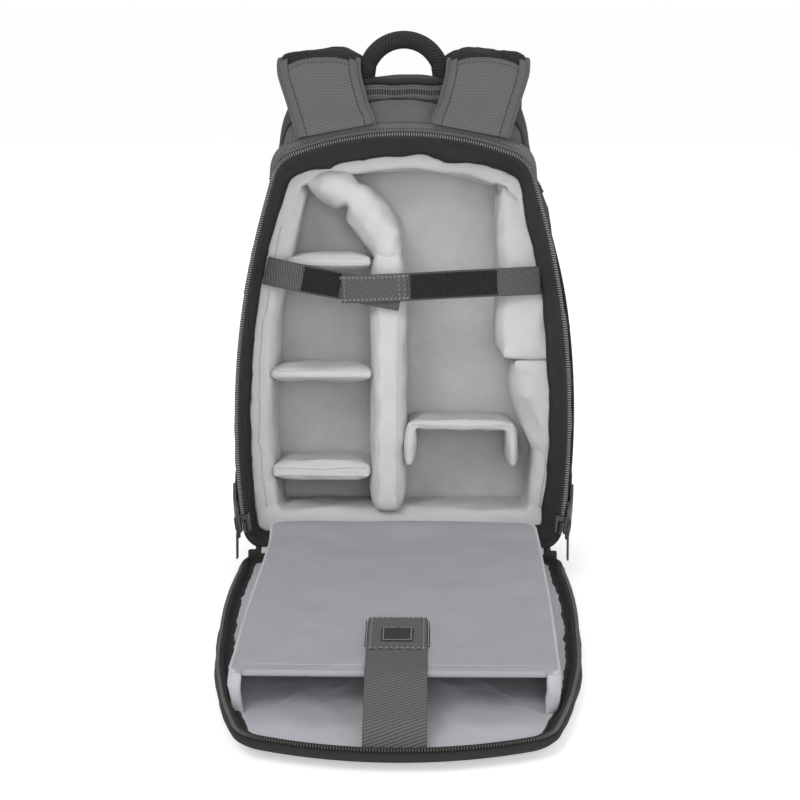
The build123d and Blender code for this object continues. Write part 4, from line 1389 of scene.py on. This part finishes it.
def make_laptop_strap():
    body, width = "laptop_strap_body", 0.0452
    path = rounded([(-6.5, 361.5), (8, 353), (29.8, 311), (29.0, 268), (28.3, 216)],
                   [0, 20, 20, 200, 0], closed=False, steps=14)
    path = resample(path, 90)
    line = in_flap(xds(0, path[:, 0], path[:, 1]))
    right, up = np.array([1.0, 0, 0]), flap_way([0, 1, 0])
    strap("laptop_strap_webbing", line, right, width, 0.0019, "webbing", body, ("laptop_strap",))
    end = line[-34:]
    strap("laptop_strap_fold", end + up * 0.0012, right, width - 0.0006, 0.0013, "webbing", body)
    seam = 0.0198
    for sign in (-1, 1):
        stitch(end + right * seam * sign + up * 0.0021, up, body)
    for at in (1, -2):
        stitch(np.array([end[at] + right * w for w in np.linspace(-seam, seam, 14)]) + up * 0.0021, up, body)
    sewn_patch("strap_label_patch", 12, 236, 262, ((0, 29.4), (0, 30.6), (0.5, 30.95), (1.8, 31.05)),
               "dark", body, "strap_label", 1.6, "thread", tilt=0.014)
    sewn_patch("sleeve_hook_tape", 24.5, 213, 263, ((-0.2, 25.6), (0, 26.8), (0.8, 27.2)),
               "hook", "back_panel", "sleeve_hook_patch", 1.2, "thread_light")


def over_hinge(half, count, in_body, on_flap, steps):
    """Rows of cloth across the hinge, through points (d, s) in the bag and (d, f) on the back panel."""
    x = np.linspace(-half, half, count)
    rows = np.array([in_bag(xds(x, d, s)) for d, s in in_body] + [in_flap(xds(x, d, f)) for d, f in on_flap])
    return np.stack([resample(rows[:, j], steps) for j in range(count)], 1)


def make_hinge():
    """Cloth that runs from the compartment's floor over the hinge to the back panel."""
    half = 126
    fine = over_hinge(half, 110, [(44, 6.5), (30, 4.6), (18, 2.8), (9, 1.6), (2.4, 1.4)],
                      [(-6.2, 4.6), (-7.8, 9.0), (-8.3, 15.0)], 26)
    mm = fine * 1000
    fine[..., 2] += ripple(mm, 24, 111) * 0.0007 + creases(mm, 30, 112) * 0.0009
    inside = skin("hinge_lining", fine, "lining", thick=0.001)
    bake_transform(inside)
    fine = over_hinge(138, 120, [(16, -3.4), (8, -2.6), (2, -1.8)],
                      [(-6, -1.5), (-12, 0.5), (-15.5, 5.0), (-16.6, 12.0)], 22)
    outside = skin("hinge_cloth", fine, "dark", thick=0.0016, replaces=("hinge_web",))
    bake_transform(outside)


# ------------------------------------------------------------------ hardware from the CAD
def dress_hardware():
    metal = ["main_slider_left", "main_slider_right", "main_pull_left", "main_pull_right",
             "top_zip_slider", "pocket_zip_slider", "pocket_zip_pull"]
    for names, material in ((metal, "metal"), (["ladder_lock_left", "ladder_lock_right"], "plastic"),
                            (["base_board"], "plastic"), (["webbing_anchors"], "dark")):
        for name in names:
            node = frame["nodes"][name]
            node.data.materials.clear()
            node.data.materials.append(MATERIALS[material])
            weld = node.modifiers.new("weld", "WELD")
            weld.merge_threshold = 0.00002
            bevel = node.modifiers.new("edges", "BEVEL")
            bevel.width, bevel.segments, bevel.limit_method = 0.0004, 2, "ANGLE"
            node.data.shade_smooth()
            smooth = node.modifiers.new("normals", "WEIGHTED_NORMAL")
            smooth.keep_sharp = True


def make_everything():
    make_shell()
    make_yoke()
    make_boot()
    make_front_pocket()
    make_small_zips()
    make_side_pocket()
    make_main_zip()
    make_facing()
    pads = make_insert()
    seam_insert(pads)
    make_retention()
    for sign, side in ((1, "right"), (-1, "left")):
        make_shoulder_strap(sign, side)
        make_lower_webbing(sign, side)
    make_handle()
    make_flap()
    make_sleeve()
    make_sleeve_gusset()
    make_laptop_strap()
    make_hinge()
    dress_hardware()
    sew_all()


# ------------------------------------------------------------------ floor, light, camera
def glow_to_camera(tree, base, extra):
    """A strength that is base, and extra more where the camera sees it directly."""
    seen = tree.nodes.new("ShaderNodeLightPath")
    return calc(tree, "MULTIPLY_ADD", seen.outputs["Is Camera Ray"], extra, base)


def make_stage():
    """A wide pale floor under a white sky, with soft lamps."""
    mesh = bpy.data.meshes.new("floor")
    mesh.from_pydata([(-60, -60, 0), (60, -60, 0), (60, 60, 0), (-60, 60, 0)], [], [(0, 1, 2, 3)])
    floor = add(bpy.data.objects.new("floor", mesh))
    made, tree, shader = new_material("floor")
    shader.inputs["Base Color"].default_value = linear((243, 243, 243))
    shader.inputs["Roughness"].default_value = 0.95
    shader.inputs["Emission Color"].default_value = (1, 1, 1, 1)
    tree.links.new(glow_to_camera(tree, 0.22, 0.20), shader.inputs["Emission Strength"])
    mesh.materials.append(made)
    world = bpy.data.worlds.new("studio")
    world.use_nodes = True
    sky = world.node_tree.nodes["Background"]
    sky.inputs["Color"].default_value = (1, 1, 1, 1)
    world.node_tree.links.new(glow_to_camera(world.node_tree, 0.62, 0.38), sky.inputs["Strength"])
    bpy.context.scene.world = world
    bpy.context.scene.view_settings.view_transform = "Standard"
    for name, at, size, power in (("key", (-0.9, -2.1, 2.0), 1.1, 26), ("fill", (1.5, -1.7, 1.0), 1.4, 9),
                                  ("front", (0.15, -2.4, 0.75), 0.9, 12), ("top", (0.2, 0.5, 2.6), 1.2, 8)):
        light = bpy.data.lights.new(name, "AREA")
        light.size, light.energy = size, power
        lamp = add(bpy.data.objects.new(name, light))
        lamp.location = at
        lamp.rotation_mode = "QUATERNION"
        lamp.rotation_quaternion = (Vector((0, -0.12, 0.2)) - Vector(at)).to_track_quat("-Z", "Y")


CAMERA_PITCH = math.radians(13.2)
CAMERA_AWAY, CAMERA_RISE, CAMERA_LENS = 1.54, 0.134, 77.6
CAMERA_SIDE, CAMERA_AIM = 0.0215, -0.0025


def make_camera():
    turn = (CAMERA_AIM - CAMERA_SIDE) / CAMERA_AWAY
    forward = Vector((turn, math.cos(CAMERA_PITCH), -math.sin(CAMERA_PITCH))).normalized()
    up = Vector((0, math.sin(CAMERA_PITCH), math.cos(CAMERA_PITCH)))
    camera = add(bpy.data.objects.new("camera", bpy.data.cameras.new("camera")))
    camera.data.lens, camera.data.sensor_width = CAMERA_LENS, 36.0
    camera.data.clip_start, camera.data.clip_end = 0.01, 50
    camera.location = Vector(HINGE) - forward * CAMERA_AWAY + up * CAMERA_RISE + Vector((CAMERA_AIM, 0, 0))
    camera.rotation_mode = "QUATERNION"
    camera.rotation_quaternion = forward.to_track_quat("-Z", "Y")
    bpy.context.scene.camera = camera


make_everything()
make_stage()
make_camera()
